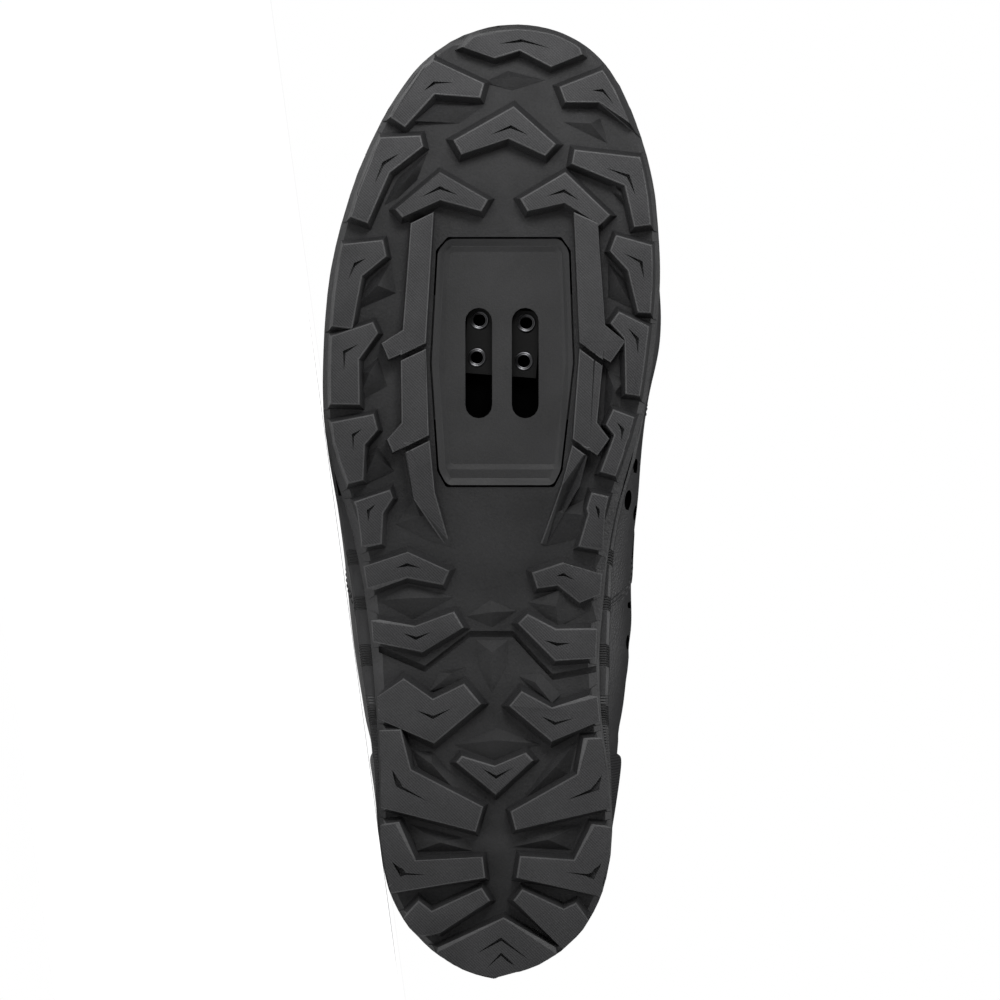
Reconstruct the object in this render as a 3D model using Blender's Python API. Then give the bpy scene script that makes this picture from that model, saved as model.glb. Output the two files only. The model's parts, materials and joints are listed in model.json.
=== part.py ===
"""Off-road cycling shoe for the right foot, lying on its outer side as it rests on a floor.

The shoe is worked out standing: X runs from the toe (-X) to the heel (+X), +Y is the outer side of a
right foot, -Y the arch side, and Z = 0 is the plane that the lugs stand on. Every surface hangs on one
ring of stations round the sole: station 0 is the toe, then the outer side, the heel and the arch side.
At the end the whole shoe is turned onto its outer side, on the three points that carry it.
"""

import math

import bmesh
import bpy
import numpy as np
from mathutils import Matrix, Vector

# Named sizes, in metres
LENGTH = 0.2873          # toe edge to heel edge of the sole
BALL_WIDTH = 0.1030      # widest part of the forefoot, with the upper
INSTEP_HEIGHT = 0.0915   # top of the throat above the standing plane
MOUTH_MIDDLE = -0.0020   # the opening's middle line lies this far to the arch side
GAP = 0.0003             # between pieces that touch
SLAB = 0.0034            # rubber under the lugs
WALL = 0.0020            # upper
COLLAR_PAD = 0.0035      # extra thickness of the padded collar
MARGIN = 0.0080          # lasting margin, turned in under the foot
FEATHER_INSET = 0.0008   # the upper stands this far inside the shell's top edge
OVERLAY = 0.0012         # toe cap and heel counter
OVERLAY_LIFT = 0.0004
TONGUE = 0.0040
# Rows of the tongue above the throat: rise, and the shares that are left of its width and of its arch
TONGUE_END = ((0.008, 0.69, 0.56), (0.015, 0.74, 0.50), (0.021, 0.70, 0.45), (0.024, 0.56, 0.40))
STRAP = 0.0020
STRAP_LIFT = 0.0007
INSOLE = 0.0040
TAB_HALF = 0.0055         # half the width of the pull tab
TAB = 0.0016
TAB_LIFT = 0.0012
TAB_END = ((0.0004, 0.005), (0.0014, 0.010), (0.0030, 0.014))   # lean back and rise above the rim
SLOT_WIDTH = 0.0081
SLOT_LENGTH = 0.0333
SLOT_PITCH = 0.0140
PLATE = 0.0034
PLATE_RIM = 0.0021       # width of the sloped rim round the plate's floor
PLATE_SINK = 0.0013      # depth of the floor below the rim
NUT = (0.0200, 0.0220, 0.0030)
NUT_HOLE = 0.0048
NUT_TWIST = math.radians(4.2)
POCKET = (0.0420, 0.0250, 0.0042)
RECESS_DEPTH = 0.0010

# Sole, a row for each station from toe to heel. along is a share of LENGTH from the heel, outer and
# inner are the tread's reach to each side as shares of BALL_WIDTH, the rest is in millimetres: how far
# the shell stands out past the tread on each side, tread floor, top of the shell, and bevel of the edge.
SOLE_COLUMNS = ("along", "outer", "inner", "ledge_out", "ledge_in", "floor", "feather", "bevel")
SOLE = [
    (1.000, -0.080, 0.080, -0.3, -0.3, 19.4, 26.6, 1.6),
    (0.995, 0.038, 0.195, -0.3, -0.3, 18.9, 26.2, 1.6),
    (0.982, 0.117, 0.262, -0.3, -0.3, 17.4, 25.2, 1.6),
    (0.958, 0.206, 0.339, -0.3, -0.3, 15.0, 23.6, 1.6),
    (0.920, 0.280, 0.389, -0.3, -0.3, 11.8, 21.3, 1.7),
    (0.872, 0.351, 0.440, -0.3, -0.3, 8.6, 19.0, 1.8),
    (0.819, 0.409, 0.473, -0.3, -0.3, 6.3, 17.0, 1.9),
    (0.766, 0.455, 0.489, -0.3, -0.3, 5.0, 15.6, 2.0),
    (0.714, 0.479, 0.485, -0.3, -0.3, 4.6, 14.6, 2.0),
    (0.661, 0.489, 0.468, -0.3, -0.3, 4.6, 14.4, 2.0),
    (0.609, 0.492, 0.450, -0.3, -0.2, 4.6, 14.8, 2.0),
    (0.556, 0.482, 0.415, 0.0, 1.2, 4.6, 15.8, 2.2),
    (0.504, 0.436, 0.372, 2.0, 1.5, 5.6, 17.4, 2.8),
    (0.451, 0.395, 0.343, 3.6, 1.6, 7.6, 19.2, 3.4),
    (0.394, 0.367, 0.327, 3.9, 2.2, 9.0, 21.0, 3.6),
    (0.331, 0.347, 0.305, 4.0, 3.4, 8.8, 22.4, 3.2),
    (0.268, 0.334, 0.316, 2.6, 2.2, 7.4, 23.4, 2.6),
    (0.205, 0.325, 0.345, 1.6, 0.6, 5.8, 24.0, 2.2),
    (0.142, 0.324, 0.348, 0.2, -0.2, 5.0, 24.5, 2.0),
    (0.090, 0.298, 0.324, -0.3, -0.3, 5.2, 25.0, 2.0),
    (0.047, 0.243, 0.272, -0.3, -0.3, 6.0, 25.4, 2.0),
    (0.021, 0.147, 0.179, -0.3, -0.3, 7.0, 25.7, 2.0),
    (0.006, 0.073, 0.132, -0.3, -0.3, 7.8, 25.9, 2.0),
    (0.000, -0.038, 0.038, -0.3, -0.3, 8.2, 26.0, 2.0),
]

# Upper, at the same stations: how far its widest part stands out past the shell on each side and how
# high that is above the feather edge (millimetres), where the column ends at the opening (share of
# LENGTH, half width in millimetres, share of INSTEP_HEIGHT), the wall's lean there in degrees, and padding.
UPPER_COLUMNS = ("swell_out", "swell_in", "wide_up", "mouth_along", "mouth_half", "mouth_up", "lean", "pad")
UPPER = [
    (-2.4, -2.4, 8.0, 0.669, 0.0, 0.732, 22, 0.0),
    (-2.4, -2.4, 8.0, 0.669, 2.2, 0.732, 22, 0.0),
    (-2.4, -2.4, 8.0, 0.668, 4.6, 0.732, 22, 0.0),
    (-2.4, -2.4, 8.0, 0.666, 7.4, 0.733, 22, 0.0),
    (-2.4, -2.3, 8.4, 0.660, 10.2, 0.738, 22, 0.0),
    (-2.3, -2.2, 9.0, 0.649, 12.4, 0.749, 22, 0.0),
    (-2.0, -1.7, 9.6, 0.631, 13.8, 0.765, 22, 0.0),
    (-1.0, -0.6, 10.2, 0.609, 14.7, 0.785, 23, 0.0),
    (0.4, 1.3, 10.8, 0.585, 15.4, 0.808, 24, 0.0),
    (0.6, 2.8, 11.2, 0.560, 16.0, 0.835, 25, 0.0),
    (1.1, 1.0, 11.8, 0.532, 16.8, 0.864, 27, 0.0),
    (0.5, 1.6, 12.6, 0.503, 17.8, 0.896, 29, 0.0),
    (0.8, 5.2, 13.6, 0.473, 19.0, 0.933, 32, 0.0),
    (1.3, 6.4, 14.6, 0.439, 20.8, 0.972, 37, 0.0),
    (2.3, 6.8, 15.2, 0.401, 23.5, 1.000, 46, 0.4),
    (2.2, 6.9, 15.6, 0.345, 28.0, 0.965, 62, 0.9),
    (1.8, 4.8, 16.0, 0.275, 31.0, 0.890, 75, 1.0),
    (0.0, 1.9, 16.0, 0.206, 31.5, 0.850, 82, 1.0),
    (-1.3, -0.6, 16.0, 0.144, 29.0, 0.878, 84, 1.0),
    (-2.2, -2.2, 15.6, 0.096, 23.5, 0.945, 84, 1.0),
    (-2.4, -2.4, 15.0, 0.061, 15.5, 1.010, 84, 1.0),
    (-2.4, -2.4, 15.0, 0.041, 8.4, 1.047, 84, 1.0),
    (-2.4, -2.4, 15.0, 0.033, 3.6, 1.061, 84, 1.0),
    (-2.4, -2.4, 15.0, 0.031, 0.0, 1.064, 84, 1.0),
]
MIDPOINT_ROWS = range(4, 19)   # the longer steps between rows get a station halfway

# The upper's rows above its widest part, as shares of the curve to the opening
CLIMB = (0.14, 0.28, 0.42, 0.56, 0.70, 0.86, 1.00)

# Lugs. Each is a chevron: its a tip, outer corner, b tip and inner notch, as percent of LENGTH from the
# heel and percent of BALL_WIDTH towards the arch, the width of each end in percent of BALL_WIDTH, the
# rise at a and at b, and the draft of its walls, in millimetres.
LUG_COLUMNS = ("name", "a_along", "a_across", "corner_along", "corner_across", "b_along", "b_across",
               "notch_along", "notch_across", "a_end", "b_end", "a_rise", "b_rise", "draft")
LUGS = [
    ("toe_out", 93.6, -2.0, 95.1, -17.6, 89.8, -28.3, 92.4, -16.4, 4.4, 4.1, 4.0, 4.0, 1.6),
    ("toe_in", 93.2, 20.2, 94.9, 32.5, 87.8, 41.7, 91.5, 31.5, 4.8, 3.8, 4.0, 4.0, 1.6),
    ("toe_mid", 87.5, -10.8, 91.1, 6.7, 87.1, 18.9, 87.7, 5.2, 4.7, 4.5, 4.4, 4.4, 1.8),
    ("side_out_1", 88.0, -20.5, 87.0, -32.7, 79.4, -40.5, 84.1, -29.5, 3.3, 4.9, 4.4, 4.4, 1.6),
    ("side_in_1", 86.5, 24.5, 85.2, 44.0, 78.7, 47.0, 82.7, 38.8, 4.2, 5.5, 4.4, 4.4, 1.6),
    ("front_out", 80.2, -27.6, 84.1, -14.8, 81.2, -0.9, 81.2, -14.8, 2.9, 3.8, 4.5, 4.5, 1.6),
    ("front_in", 81.3, 8.7, 84.1, 21.8, 79.6, 34.6, 80.9, 21.5, 4.1, 2.9, 4.5, 4.5, 1.6),
    ("rail_out_1", 79.3, -16.6, 66.2, -18.9, 64.5, -29.7, 67.6, -25.6, 6.7, 5.2, 4.6, 4.6, 0.3),
    ("rail_out_2", 65.8, -18.9, 56.5, -18.0, 54.8, -28.5, 57.9, -25.9, 7.3, 4.1, 4.6, 4.6, 0.3),
    ("rail_out_3", 56.1, -17.8, 50.6, -16.3, 45.5, -12.3, 49.9, -22.4, 7.6, 1.6, 4.6, 0.3, 0.3),
    ("rail_in_1", 79.3, 24.2, 66.3, 25.9, 64.2, 34.6, 68.1, 33.2, 7.0, 7.3, 4.6, 4.6, 0.3),
    ("rail_in_2", 65.9, 25.9, 56.2, 23.9, 54.5, 30.8, 57.9, 30.8, 7.0, 5.8, 4.6, 4.6, 0.3),
    ("rail_in_3", 55.8, 23.9, 51.4, 20.7, 45.3, 14.7, 51.4, 25.9, 4.9, 1.6, 4.6, 0.3, 0.3),
    ("side_out_2", 77.0, -31.4, 76.1, -43.7, 68.1, -47.3, 73.2, -37.5, 4.9, 7.0, 4.6, 4.6, 1.4),
    ("side_in_2", 77.5, 36.4, 76.1, 47.0, 69.4, 46.6, 73.8, 39.6, 4.9, 4.4, 4.6, 4.6, 1.4),
    ("side_out_3", 68.4, -34.3, 66.4, -46.6, 59.9, -47.2, 64.5, -38.4, 3.5, 9.0, 4.6, 4.6, 1.4),
    ("side_in_3", 69.5, 37.0, 67.4, 45.9, 60.7, 43.5, 66.7, 38.4, 4.1, 4.9, 4.6, 4.6, 1.4),
    ("side_out_4", 58.8, -34.1, 57.8, -45.1, 51.6, -42.0, 55.6, -36.7, 4.7, 4.9, 4.6, 4.6, 1.4),
    ("side_in_4", 59.3, 35.2, 58.2, 42.2, 52.2, 36.6, 56.6, 35.5, 4.9, 5.2, 4.6, 4.6, 1.4),
    ("side_out_5", 50.9, -29.4, 49.5, -40.7, 44.8, -37.9, 48.5, -31.4, 2.6, 6.1, 4.2, 3.4, 1.4),
    ("side_in_5", 50.6, 29.1, 50.0, 34.9, 44.5, 31.2, 48.4, 28.2, 4.7, 5.8, 4.2, 3.4, 1.4),
    ("arch_out_1", 42.5, -35.6, 44.4, -24.5, 42.4, -12.2, 41.7, -24.5, 7.0, 4.4, 3.2, 3.2, 1.6),
    ("arch_in_1", 42.2, 12.2, 43.3, 21.3, 41.6, 29.8, 40.9, 19.6, 4.7, 8.1, 3.2, 3.2, 1.6),
    ("arch_out_2", 35.5, -33.6, 33.9, -20.2, 36.5, -8.1, 36.6, -22.2, 7.0, 5.2, 3.2, 3.2, 1.6),
    ("arch_in_2", 36.9, 8.1, 33.0, 18.7, 33.4, 29.2, 36.3, 19.0, 3.8, 9.0, 3.2, 3.2, 1.6),
    ("heel_out_1", 27.8, -31.5, 24.4, -16.6, 28.5, -2.9, 29.0, -16.9, 11.1, 7.6, 4.2, 4.6, 1.8),
    ("heel_in_1", 28.3, 5.5, 24.6, 17.8, 27.4, 30.9, 28.1, 17.8, 5.5, 7.3, 4.6, 4.2, 1.8),
    ("heel_mid", 22.4, -9.9, 19.1, 1.5, 22.6, 12.2, 22.0, 1.2, 2.3, 2.9, 3.0, 3.0, 1.6),
    ("heel_out_2", 25.8, -32.0, 18.1, -31.6, 15.2, -4.4, 21.7, -23.3, 5.8, 7.6, 4.8, 4.8, 1.4),
    ("heel_in_2", 25.0, 33.4, 18.0, 34.0, 15.4, 7.3, 21.2, 25.0, 6.7, 5.5, 4.8, 4.8, 1.4),
    ("heel_out_3", 15.9, -31.8, 9.2, -28.6, 10.4, -1.7, 12.2, -21.8, 5.2, 6.1, 4.8, 4.8, 1.4),
    ("heel_in_3", 15.8, 33.8, 9.1, 31.6, 10.4, 7.6, 12.3, 24.2, 4.7, 6.4, 4.8, 4.8, 1.4),
    ("heel_out_4", 6.1, -23.4, 4.7, -14.8, 8.0, -0.3, 6.9, -17.2, 5.8, 4.4, 4.6, 4.6, 1.4),
    ("heel_in_4", 6.1, 27.0, 4.7, 18.6, 8.0, 6.7, 7.2, 21.2, 5.4, 4.1, 4.6, 4.6, 1.4),
]
# The two end lugs follow the tread's edge and have a zigzag on the side that faces the foot's middle
ZIGZAG_COLUMNS = ("along", "across")
TOE_ZIGZAG = [(97.4, -8.2), (96.2, 1.2), (97.0, 8.5), (95.3, 17.6), (96.6, 26.7)]
HEEL_ZIGZAG = [(3.1, -15.6), (6.2, 3.8), (3.2, 19.1)]
END_LUG_RISE = 0.0042
END_LUG_INSET = 0.0012
EDGE_REACH = 0.0058        # a lug's corner this close to the tread's edge runs out over it
EDGE_PAST = 0.0015         # and ends this far past it, where the edge's slope cuts it
EDGE_SLOPE = 0.0006        # the edge leans in by twice this over the height of the lugs
EDGE_CLEAR = 0.0001
LUG_SPACE = 0.0056         # tallest room that a lug may fill below the tread's floor

# The step across the tread behind the arch, and the window for the cleat plate, as the lugs' tables
STEP_LINE = [(34.3, -32.8), (32.1, -19.3), (35.8, -6.1), (35.8, 6.4), (31.3, 17.9), (32.1, 29.6)]
STEP_WIDTH = 0.0013
STEP_DEPTH = 0.0010
WINDOW = [(77.4, -12.6), (77.4, 20.6), (76.0, 23.4), (64.2, 24.6), (52.9, 21.0), (51.2, 18.6),
          (51.2, -13.1), (52.9, -15.7), (64.2, -17.8), (76.0, -16.0)]
SLOT_ALONG = 64.2
SLOT_MIDDLE = 3.3
NUT_ALONG = 66.4

# Diamond recesses in the shell's side: station along, side (+1 outer), share of the shell's height
RECESSES = [(0.431, 1, 0.50), (0.386, 1, 0.50), (0.326, 1, 0.50), (0.261, 1, 0.50), (0.257, -1, 0.50)]
RECESS_LENGTH = 0.0042
RECESS_HEIGHT = 0.0062


def station_rows(rows, index):
    """Column of a station table with the halfway stations put in."""
    values = [row[index] for row in rows]
    out = [values[0]]
    for i in range(len(values) - 1):
        if i in MIDPOINT_ROWS:
            out.append((9 * (values[i] + values[i + 1]) - values[i - 1] - values[i + 2]) / 16)
        out.append(values[i + 1])
    return np.array(out)


SOLE_AT = {name: station_rows(SOLE, i) for i, name in enumerate(SOLE_COLUMNS)}
UPPER_AT = {name: station_rows(UPPER, i) for i, name in enumerate(UPPER_COLUMNS)}
LAST = len(SOLE_AT["along"]) - 1     # number of the heel station
RING = 2 * LAST                      # stations round the whole sole


def around(toe_to_heel):
    """Values at the stations spread round the ring, the same on both sides."""
    return np.concatenate([toe_to_heel, toe_to_heel[-2:0:-1]])


def around_sides(outer, inner):
    """Values round the ring from a column for each side."""
    ends = outer.copy()
    ends[0] = (outer[0] + inner[0]) / 2
    ends[-1] = (outer[-1] + inner[-1]) / 2
    return np.concatenate([ends, inner[-2:0:-1]])


def height_at(along, name):
    """A height column of the sole, in metres, at any share of the length."""
    order = SOLE_AT["along"][::-1]
    return np.interp(along, order, SOLE_AT[name][::-1]) / 1000


def place(along, across, height):
    """Point from percent of length, percent of width towards the arch and a height."""
    return (LENGTH * (0.5 - along / 100), -BALL_WIDTH * across / 100, height)


# Tread outline round the ring, its outward directions and the shell's outline
TREAD_X = LENGTH * (0.5 - around(SOLE_AT["along"]))
TREAD_Y = BALL_WIDTH * np.concatenate([SOLE_AT["outer"], -SOLE_AT["inner"][-2:0:-1]])
TREAD = np.stack([TREAD_X, TREAD_Y], axis=1)


def outward(outline):
    """Unit directions out of a closed plan outline."""
    run = np.roll(outline, -1, axis=0) - np.roll(outline, 1, axis=0)
    run /= np.linalg.norm(run, axis=1)[:, None]
    return np.stack([-run[:, 1], run[:, 0]], axis=1)


OUT = outward(TREAD)
FLOOR = around(SOLE_AT["floor"]) / 1000
FEATHER = around(SOLE_AT["feather"]) / 1000
BEVEL = around(SOLE_AT["bevel"]) / 1000
SHELL = TREAD + OUT * around_sides(SOLE_AT["ledge_out"], SOLE_AT["ledge_in"])[:, None] / 1000


def ring(outline, inset, height):
    """Ring of points inside an outline, at a height for each station."""
    plan = outline - OUT * np.reshape(inset, (-1, 1))
    return np.column_stack([plan, np.broadcast_to(height, RING)])


def new_object(name, points, faces):
    mesh = bpy.data.meshes.new(name)
    mesh.from_pydata([tuple(p) for p in points], [], faces)
    solid = bmesh.new()
    solid.from_mesh(mesh)
    bmesh.ops.recalc_face_normals(solid, faces=solid.faces)
    solid.to_mesh(mesh)
    solid.free()
    obj = bpy.data.objects.new(name, mesh)
    bpy.context.scene.collection.objects.link(obj)
    return obj


def cap_faces(first):
    """Strip of faces across a ring from toe to heel."""
    faces = [(first, first + 1, first + RING - 1)]
    for i in range(1, LAST - 1):
        faces.append((first + i, first + i + 1, first + RING - i - 1, first + RING - i))
    faces.append((first + LAST - 1, first + LAST, first + LAST + 1))
    return faces


def slab_solid(name, rings):
    """Solid from rings stacked from its underside to its top."""
    faces = cap_faces(0) + cap_faces((len(rings) - 1) * RING)
    for level in range(len(rings) - 1):
        for i in range(RING):
            j = (i + 1) % RING
            low = level * RING
            faces.append((low + i, low + j, low + RING + j, low + RING + i))
    return new_object(name, np.concatenate(rings), faces)


def prism(name, low, high):
    """Solid between two outlines with the same number of corners."""
    n = len(low)
    faces = [tuple(range(n)), tuple(range(n, 2 * n))]
    faces += [(i, (i + 1) % n, n + (i + 1) % n, n + i) for i in range(n)]
    return new_object(name, list(low) + list(high), faces)


def grid_solid(name, outer, inner, closed=False):
    """Solid between two matching grids of points, rows by columns, with its edges closed."""
    rows, columns = outer.shape[:2]
    points = np.concatenate([outer.reshape(-1, 3), inner.reshape(-1, 3)])
    faces = []
    back = rows * columns
    reach = columns if closed else columns - 1
    for r in range(rows - 1):
        for c in range(reach):
            d = (c + 1) % columns
            quad = (r * columns + c, r * columns + d, (r + 1) * columns + d, (r + 1) * columns + c)
            faces.append(quad)
            faces.append(tuple(back + i for i in reversed(quad)))
    for r in (0, rows - 1):
        for c in range(reach):
            d = (c + 1) % columns
            faces.append((r * columns + c, r * columns + d, back + r * columns + d, back + r * columns + c))
    if not closed:
        for c in (0, columns - 1):
            for r in range(rows - 1):
                i = r * columns + c
                faces.append((i, i + columns, back + i + columns, back + i))
    return new_object(name, points, faces)


def boolean(target, tool, operation):
    """Join or cut with one more solid, which is then removed."""
    step = target.modifiers.new("cut", "BOOLEAN")
    step.operation = operation
    step.solver = "EXACT"
    step.object = tool
    deps = bpy.context.evaluated_depsgraph_get()
    mesh = bpy.data.meshes.new_from_object(target.evaluated_get(deps))
    target.modifiers.clear()
    old = target.data
    target.data = mesh
    mesh.name = target.name
    bpy.data.meshes.remove(old)
    bpy.data.objects.remove(tool, do_unlink=True)


def widened(points, distance):
    """Plan outline moved outward by a distance, corners mitred."""
    pts = np.array([p[:2] for p in points])
    area = np.sum(pts[:, 0] * np.roll(pts[:, 1], -1) - np.roll(pts[:, 0], -1) * pts[:, 1])
    turn = 1.0 if area > 0 else -1.0
    before = pts - np.roll(pts, 1, axis=0)
    after = np.roll(pts, -1, axis=0) - pts
    before /= np.linalg.norm(before, axis=1)[:, None]
    after /= np.linalg.norm(after, axis=1)[:, None]
    n_before = turn * np.stack([before[:, 1], -before[:, 0]], axis=1)
    n_after = turn * np.stack([after[:, 1], -after[:, 0]], axis=1)
    middle = n_before + n_after
    middle /= np.maximum(np.sum(middle * n_before, axis=1), 0.35)[:, None]
    return pts + middle * distance


def past_edge(point):
    """A lug's corner as it is, or out past the tread's edge where it lies close inside it."""
    run = np.roll(TREAD, -1, axis=0) - TREAD
    share = np.clip(np.sum((point - TREAD) * run, axis=1) / np.sum(run * run, axis=1), 0, 1)
    apart = np.linalg.norm(TREAD + run * share[:, None] - point, axis=1)
    nearest = int(np.argmin(apart))
    if apart[nearest] > EDGE_REACH:
        return np.array(point)
    return point + OUT[nearest] * (apart[nearest] + EDGE_PAST)


def edge_block():
    """All that lies inside the tread's edge, which slopes in from the slab to the lugs' faces."""
    low = ring(TREAD, BEVEL + EDGE_SLOPE, FLOOR - LUG_SPACE)
    root = ring(TREAD, BEVEL - EDGE_SLOPE, FLOOR)
    side = ring(TREAD, -EDGE_CLEAR, FLOOR + 0.0018)
    top = ring(TREAD, -EDGE_CLEAR, FLOOR + SLAB + 0.001)
    return slab_solid("cutter", [low, root, side, top])


def lug_outline(row):
    """Six corners of a chevron lug in plan, with the rise at each."""
    named = dict(zip(LUG_COLUMNS, row))
    a, corner, b, notch = (np.array(place(named[k + "_along"], named[k + "_across"], 0)[:2])
                           for k in ("a", "corner", "b", "notch"))
    ends = []
    for tip, width in ((a, named["a_end"]), (b, named["b_end"])):
        arm = (tip - corner) / np.linalg.norm(tip - corner)
        side = np.array([-arm[1], arm[0]])
        if np.dot(side, notch - corner) < 0:
            side = -side
        ends.append(tip + side * BALL_WIDTH * width / 100)
    outline = [past_edge(p) for p in (a, corner, b, ends[1], notch, ends[0])]
    rises = [named[k] / 1000 for k in ("a_rise", "a_rise", "b_rise", "b_rise", "a_rise", "a_rise")]
    return outline, rises


def lug_solid(name, outline, rises, draft):
    """Lug from inside the slab down to its top face, with sloped walls."""
    low = []
    for (x, y), rise in zip(outline, rises):
        low.append((x, y, height_at(0.5 - x / LENGTH, "floor") - rise))
    root = 0.0014
    base = []
    spread = widened(outline, draft / 1000 * (1 + root / max(rises)))
    for x, y in spread:
        base.append((x, y, height_at(0.5 - x / LENGTH, "floor") + root))
    return prism(name, low, base)


def end_lug(name, zigzag, toe):
    """Lug at the toe or heel: the tread's edge on one side, the zigzag on the other."""
    inner = [place(a, c, 0)[:2] for a, c in zigzag]
    edge = TREAD - OUT * END_LUG_INSET
    low_y, high_y = min(p[1] for p in inner), max(p[1] for p in inner)
    front = [tuple(p) for i, p in enumerate(edge)
             if low_y < p[1] < high_y and (p[0] < -0.42 * LENGTH if toe else p[0] > 0.45 * LENGTH)]
    front.sort(key=lambda p: p[1])
    outline = [np.array(p) for p in inner] + [np.array(p) for p in front]
    return lug_solid(name, outline, [END_LUG_RISE] * len(outline), 1.2)


def build_outsole():
    obj = slab_solid("outsole", [
        ring(TREAD, BEVEL, FLOOR),
        ring(TREAD, 0.0005, FLOOR + 0.0015),
        ring(TREAD, 0.0, FLOOR + 0.0021),
        ring(TREAD, 0.0, FLOOR + 0.0030),
        ring(TREAD, 0.0005, FLOOR + SLAB),
    ])
    for row in LUGS:
        outline, rises = lug_outline(row)
        boolean(obj, lug_solid("lug", outline, rises, row[-1]), "UNION")
    boolean(obj, end_lug("lug", TOE_ZIGZAG, True), "UNION")
    boolean(obj, end_lug("lug", HEEL_ZIGZAG, False), "UNION")
    boolean(obj, edge_block(), "INTERSECT")
    window = [place(a, c, 0)[:2] for a, c in WINDOW]
    boolean(obj, prism("cutter", [(x, y, -0.01) for x, y in window],
                       [(x, y, 0.03) for x, y in window]), "DIFFERENCE")
    line = np.array([place(a, c, 0)[:2] for a, c in STEP_LINE])
    front = line + np.array([-STEP_WIDTH / 2, 0])
    rear = line + np.array([STEP_WIDTH / 2, 0])
    outline = list(front) + list(rear[::-1])
    depth = [height_at(0.5 - x / LENGTH, "floor") + STEP_DEPTH for x, y in outline]
    boolean(obj, prism("cutter", [(x, y, 0.0) for x, y in outline],
                       [(x, y, z) for (x, y), z in zip(outline, depth)]), "DIFFERENCE")
    return obj


def build_midsole():
    base = FLOOR + SLAB + GAP
    tall = FEATHER - base
    obj = slab_solid("midsole", [
        ring(SHELL, 0.0010, base),
        ring(SHELL, 0.0002, base + 0.0006),
        ring(SHELL, 0.0, base + 0.24 * tall),
        ring(SHELL, 0.0, base + 0.76 * tall),
        ring(SHELL, 0.0005, base + 0.80 * tall),
        ring(SHELL, 0.0005, base + 1.00 * tall),
    ])
    cut_box(obj, place(NUT_ALONG - 2.2, SLOT_MIDDLE, 0), POCKET, "floor")
    for along, side, share in RECESSES:
        cut_recess(obj, along, side, share)
    return obj


def cut_box(obj, middle, size, name):
    low = height_at(0.5 - middle[0] / LENGTH, name) + SLAB + GAP
    corners = [(middle[0] + sx * size[0] / 2, middle[1] + sy * size[1] / 2)
               for sx, sy in ((-1, -1), (1, -1), (1, 1), (-1, 1))]
    boolean(obj, prism("cutter", [(x, y, low - 0.002) for x, y in corners],
                       [(x, y, low + size[2]) for x, y in corners]), "DIFFERENCE")


def cut_recess(obj, along, side, share):
    """Shallow diamond in the shell's side."""
    order = SOLE_AT["along"][::-1]
    names = ("outer", "ledge_out") if side > 0 else ("inner", "ledge_in")
    reach = BALL_WIDTH * np.interp(along, order, SOLE_AT[names[0]][::-1])
    reach += np.interp(along, order, SOLE_AT[names[1]][::-1]) / 1000
    low = height_at(along, "floor") + SLAB + GAP
    middle = low + share * (height_at(along, "feather") - low)
    x = LENGTH * (0.5 - along)
    half = RECESS_LENGTH / 2
    tall = RECESS_HEIGHT / 2
    diamond = [(x - half, middle), (x, middle - tall), (x + half, middle), (x, middle + tall)]
    inside = side * (reach - RECESS_DEPTH)
    outside = side * (reach + 0.004)
    boolean(obj, prism("cutter", [(a, inside, b) for a, b in diamond],
                       [(a, outside, b) for a, b in diamond]), "DIFFERENCE")


def stadium(length, width, steps=8):
    """Plan outline of a slot, along X."""
    out = []
    for end in (1, -1):
        for i in range(steps + 1):
            angle = math.pi * (i / steps - 0.5)
            out.append((end * ((length - width) / 2 + width / 2 * math.cos(angle)),
                        end * width / 2 * math.sin(angle)))
    return out


def build_plate():
    """Plate in the window: sloped rim, flat floor and two slots for the cleat's screws."""
    low = height_at(SLOT_ALONG / 100, "floor")
    edge = widened([place(a, c, 0)[:2] for a, c in WINDOW], -0.0006)
    floor_edge = widened([(x, y) for x, y in edge], -PLATE_RIM)
    n = len(edge)
    levels = [[(x, y, low + PLATE) for x, y in edge], [(x, y, low + 0.0002) for x, y in edge],
              [(x, y, low + PLATE_SINK) for x, y in floor_edge]]
    faces = [tuple(range(n)), tuple(range(2 * n, 3 * n))]
    for level in range(2):
        faces += [(level * n + i, level * n + (i + 1) % n, level * n + n + (i + 1) % n, level * n + n + i)
                  for i in range(n)]
    obj = new_object("cleat_plate", [p for level in levels for p in level], faces)
    for side in (1, -1):
        x, y, z = place(SLOT_ALONG, SLOT_MIDDLE, low)
        y += side * SLOT_PITCH / 2
        outline = [(x + a, y + b) for a, b in stadium(SLOT_LENGTH, SLOT_WIDTH)]
        boolean(obj, prism("cutter", [(a, b, z - 0.002) for a, b in outline],
                           [(a, b, z + 0.006) for a, b in outline]), "DIFFERENCE")
    return obj


def build_nut():
    """Steel plate with four threaded holes, lying a little turned in its pocket."""
    low = height_at(NUT_ALONG / 100, "floor") + SLAB + 2 * GAP + 0.0002
    x, y, z = place(NUT_ALONG, SLOT_MIDDLE, low)
    cos, sin = math.cos(NUT_TWIST), math.sin(NUT_TWIST)

    def turned(points):
        return [(x + a * cos - b * sin, y + a * sin + b * cos) for a, b in points]

    half, wide = NUT[0] / 2, NUT[1] / 2
    body = turned([(-half, -wide), (half, -wide), (half, wide), (-half, wide)])
    obj = prism("cleat_nut", [(a, b, z) for a, b in body], [(a, b, z + NUT[2]) for a, b in body])
    for sx in (1, -1):
        for sy in (1, -1):
            middle = (sx * 0.00565, sy * SLOT_PITCH / 2)
            circle = turned([(middle[0] + NUT_HOLE / 2 * math.cos(i * math.tau / 20),
                              middle[1] + NUT_HOLE / 2 * math.sin(i * math.tau / 20)) for i in range(20)])
            boolean(obj, prism("cutter", [(a, b, z - 0.001) for a, b in circle],
                               [(a, b, z + NUT[2] + 0.001) for a, b in circle]), "DIFFERENCE")
    return obj


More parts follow.
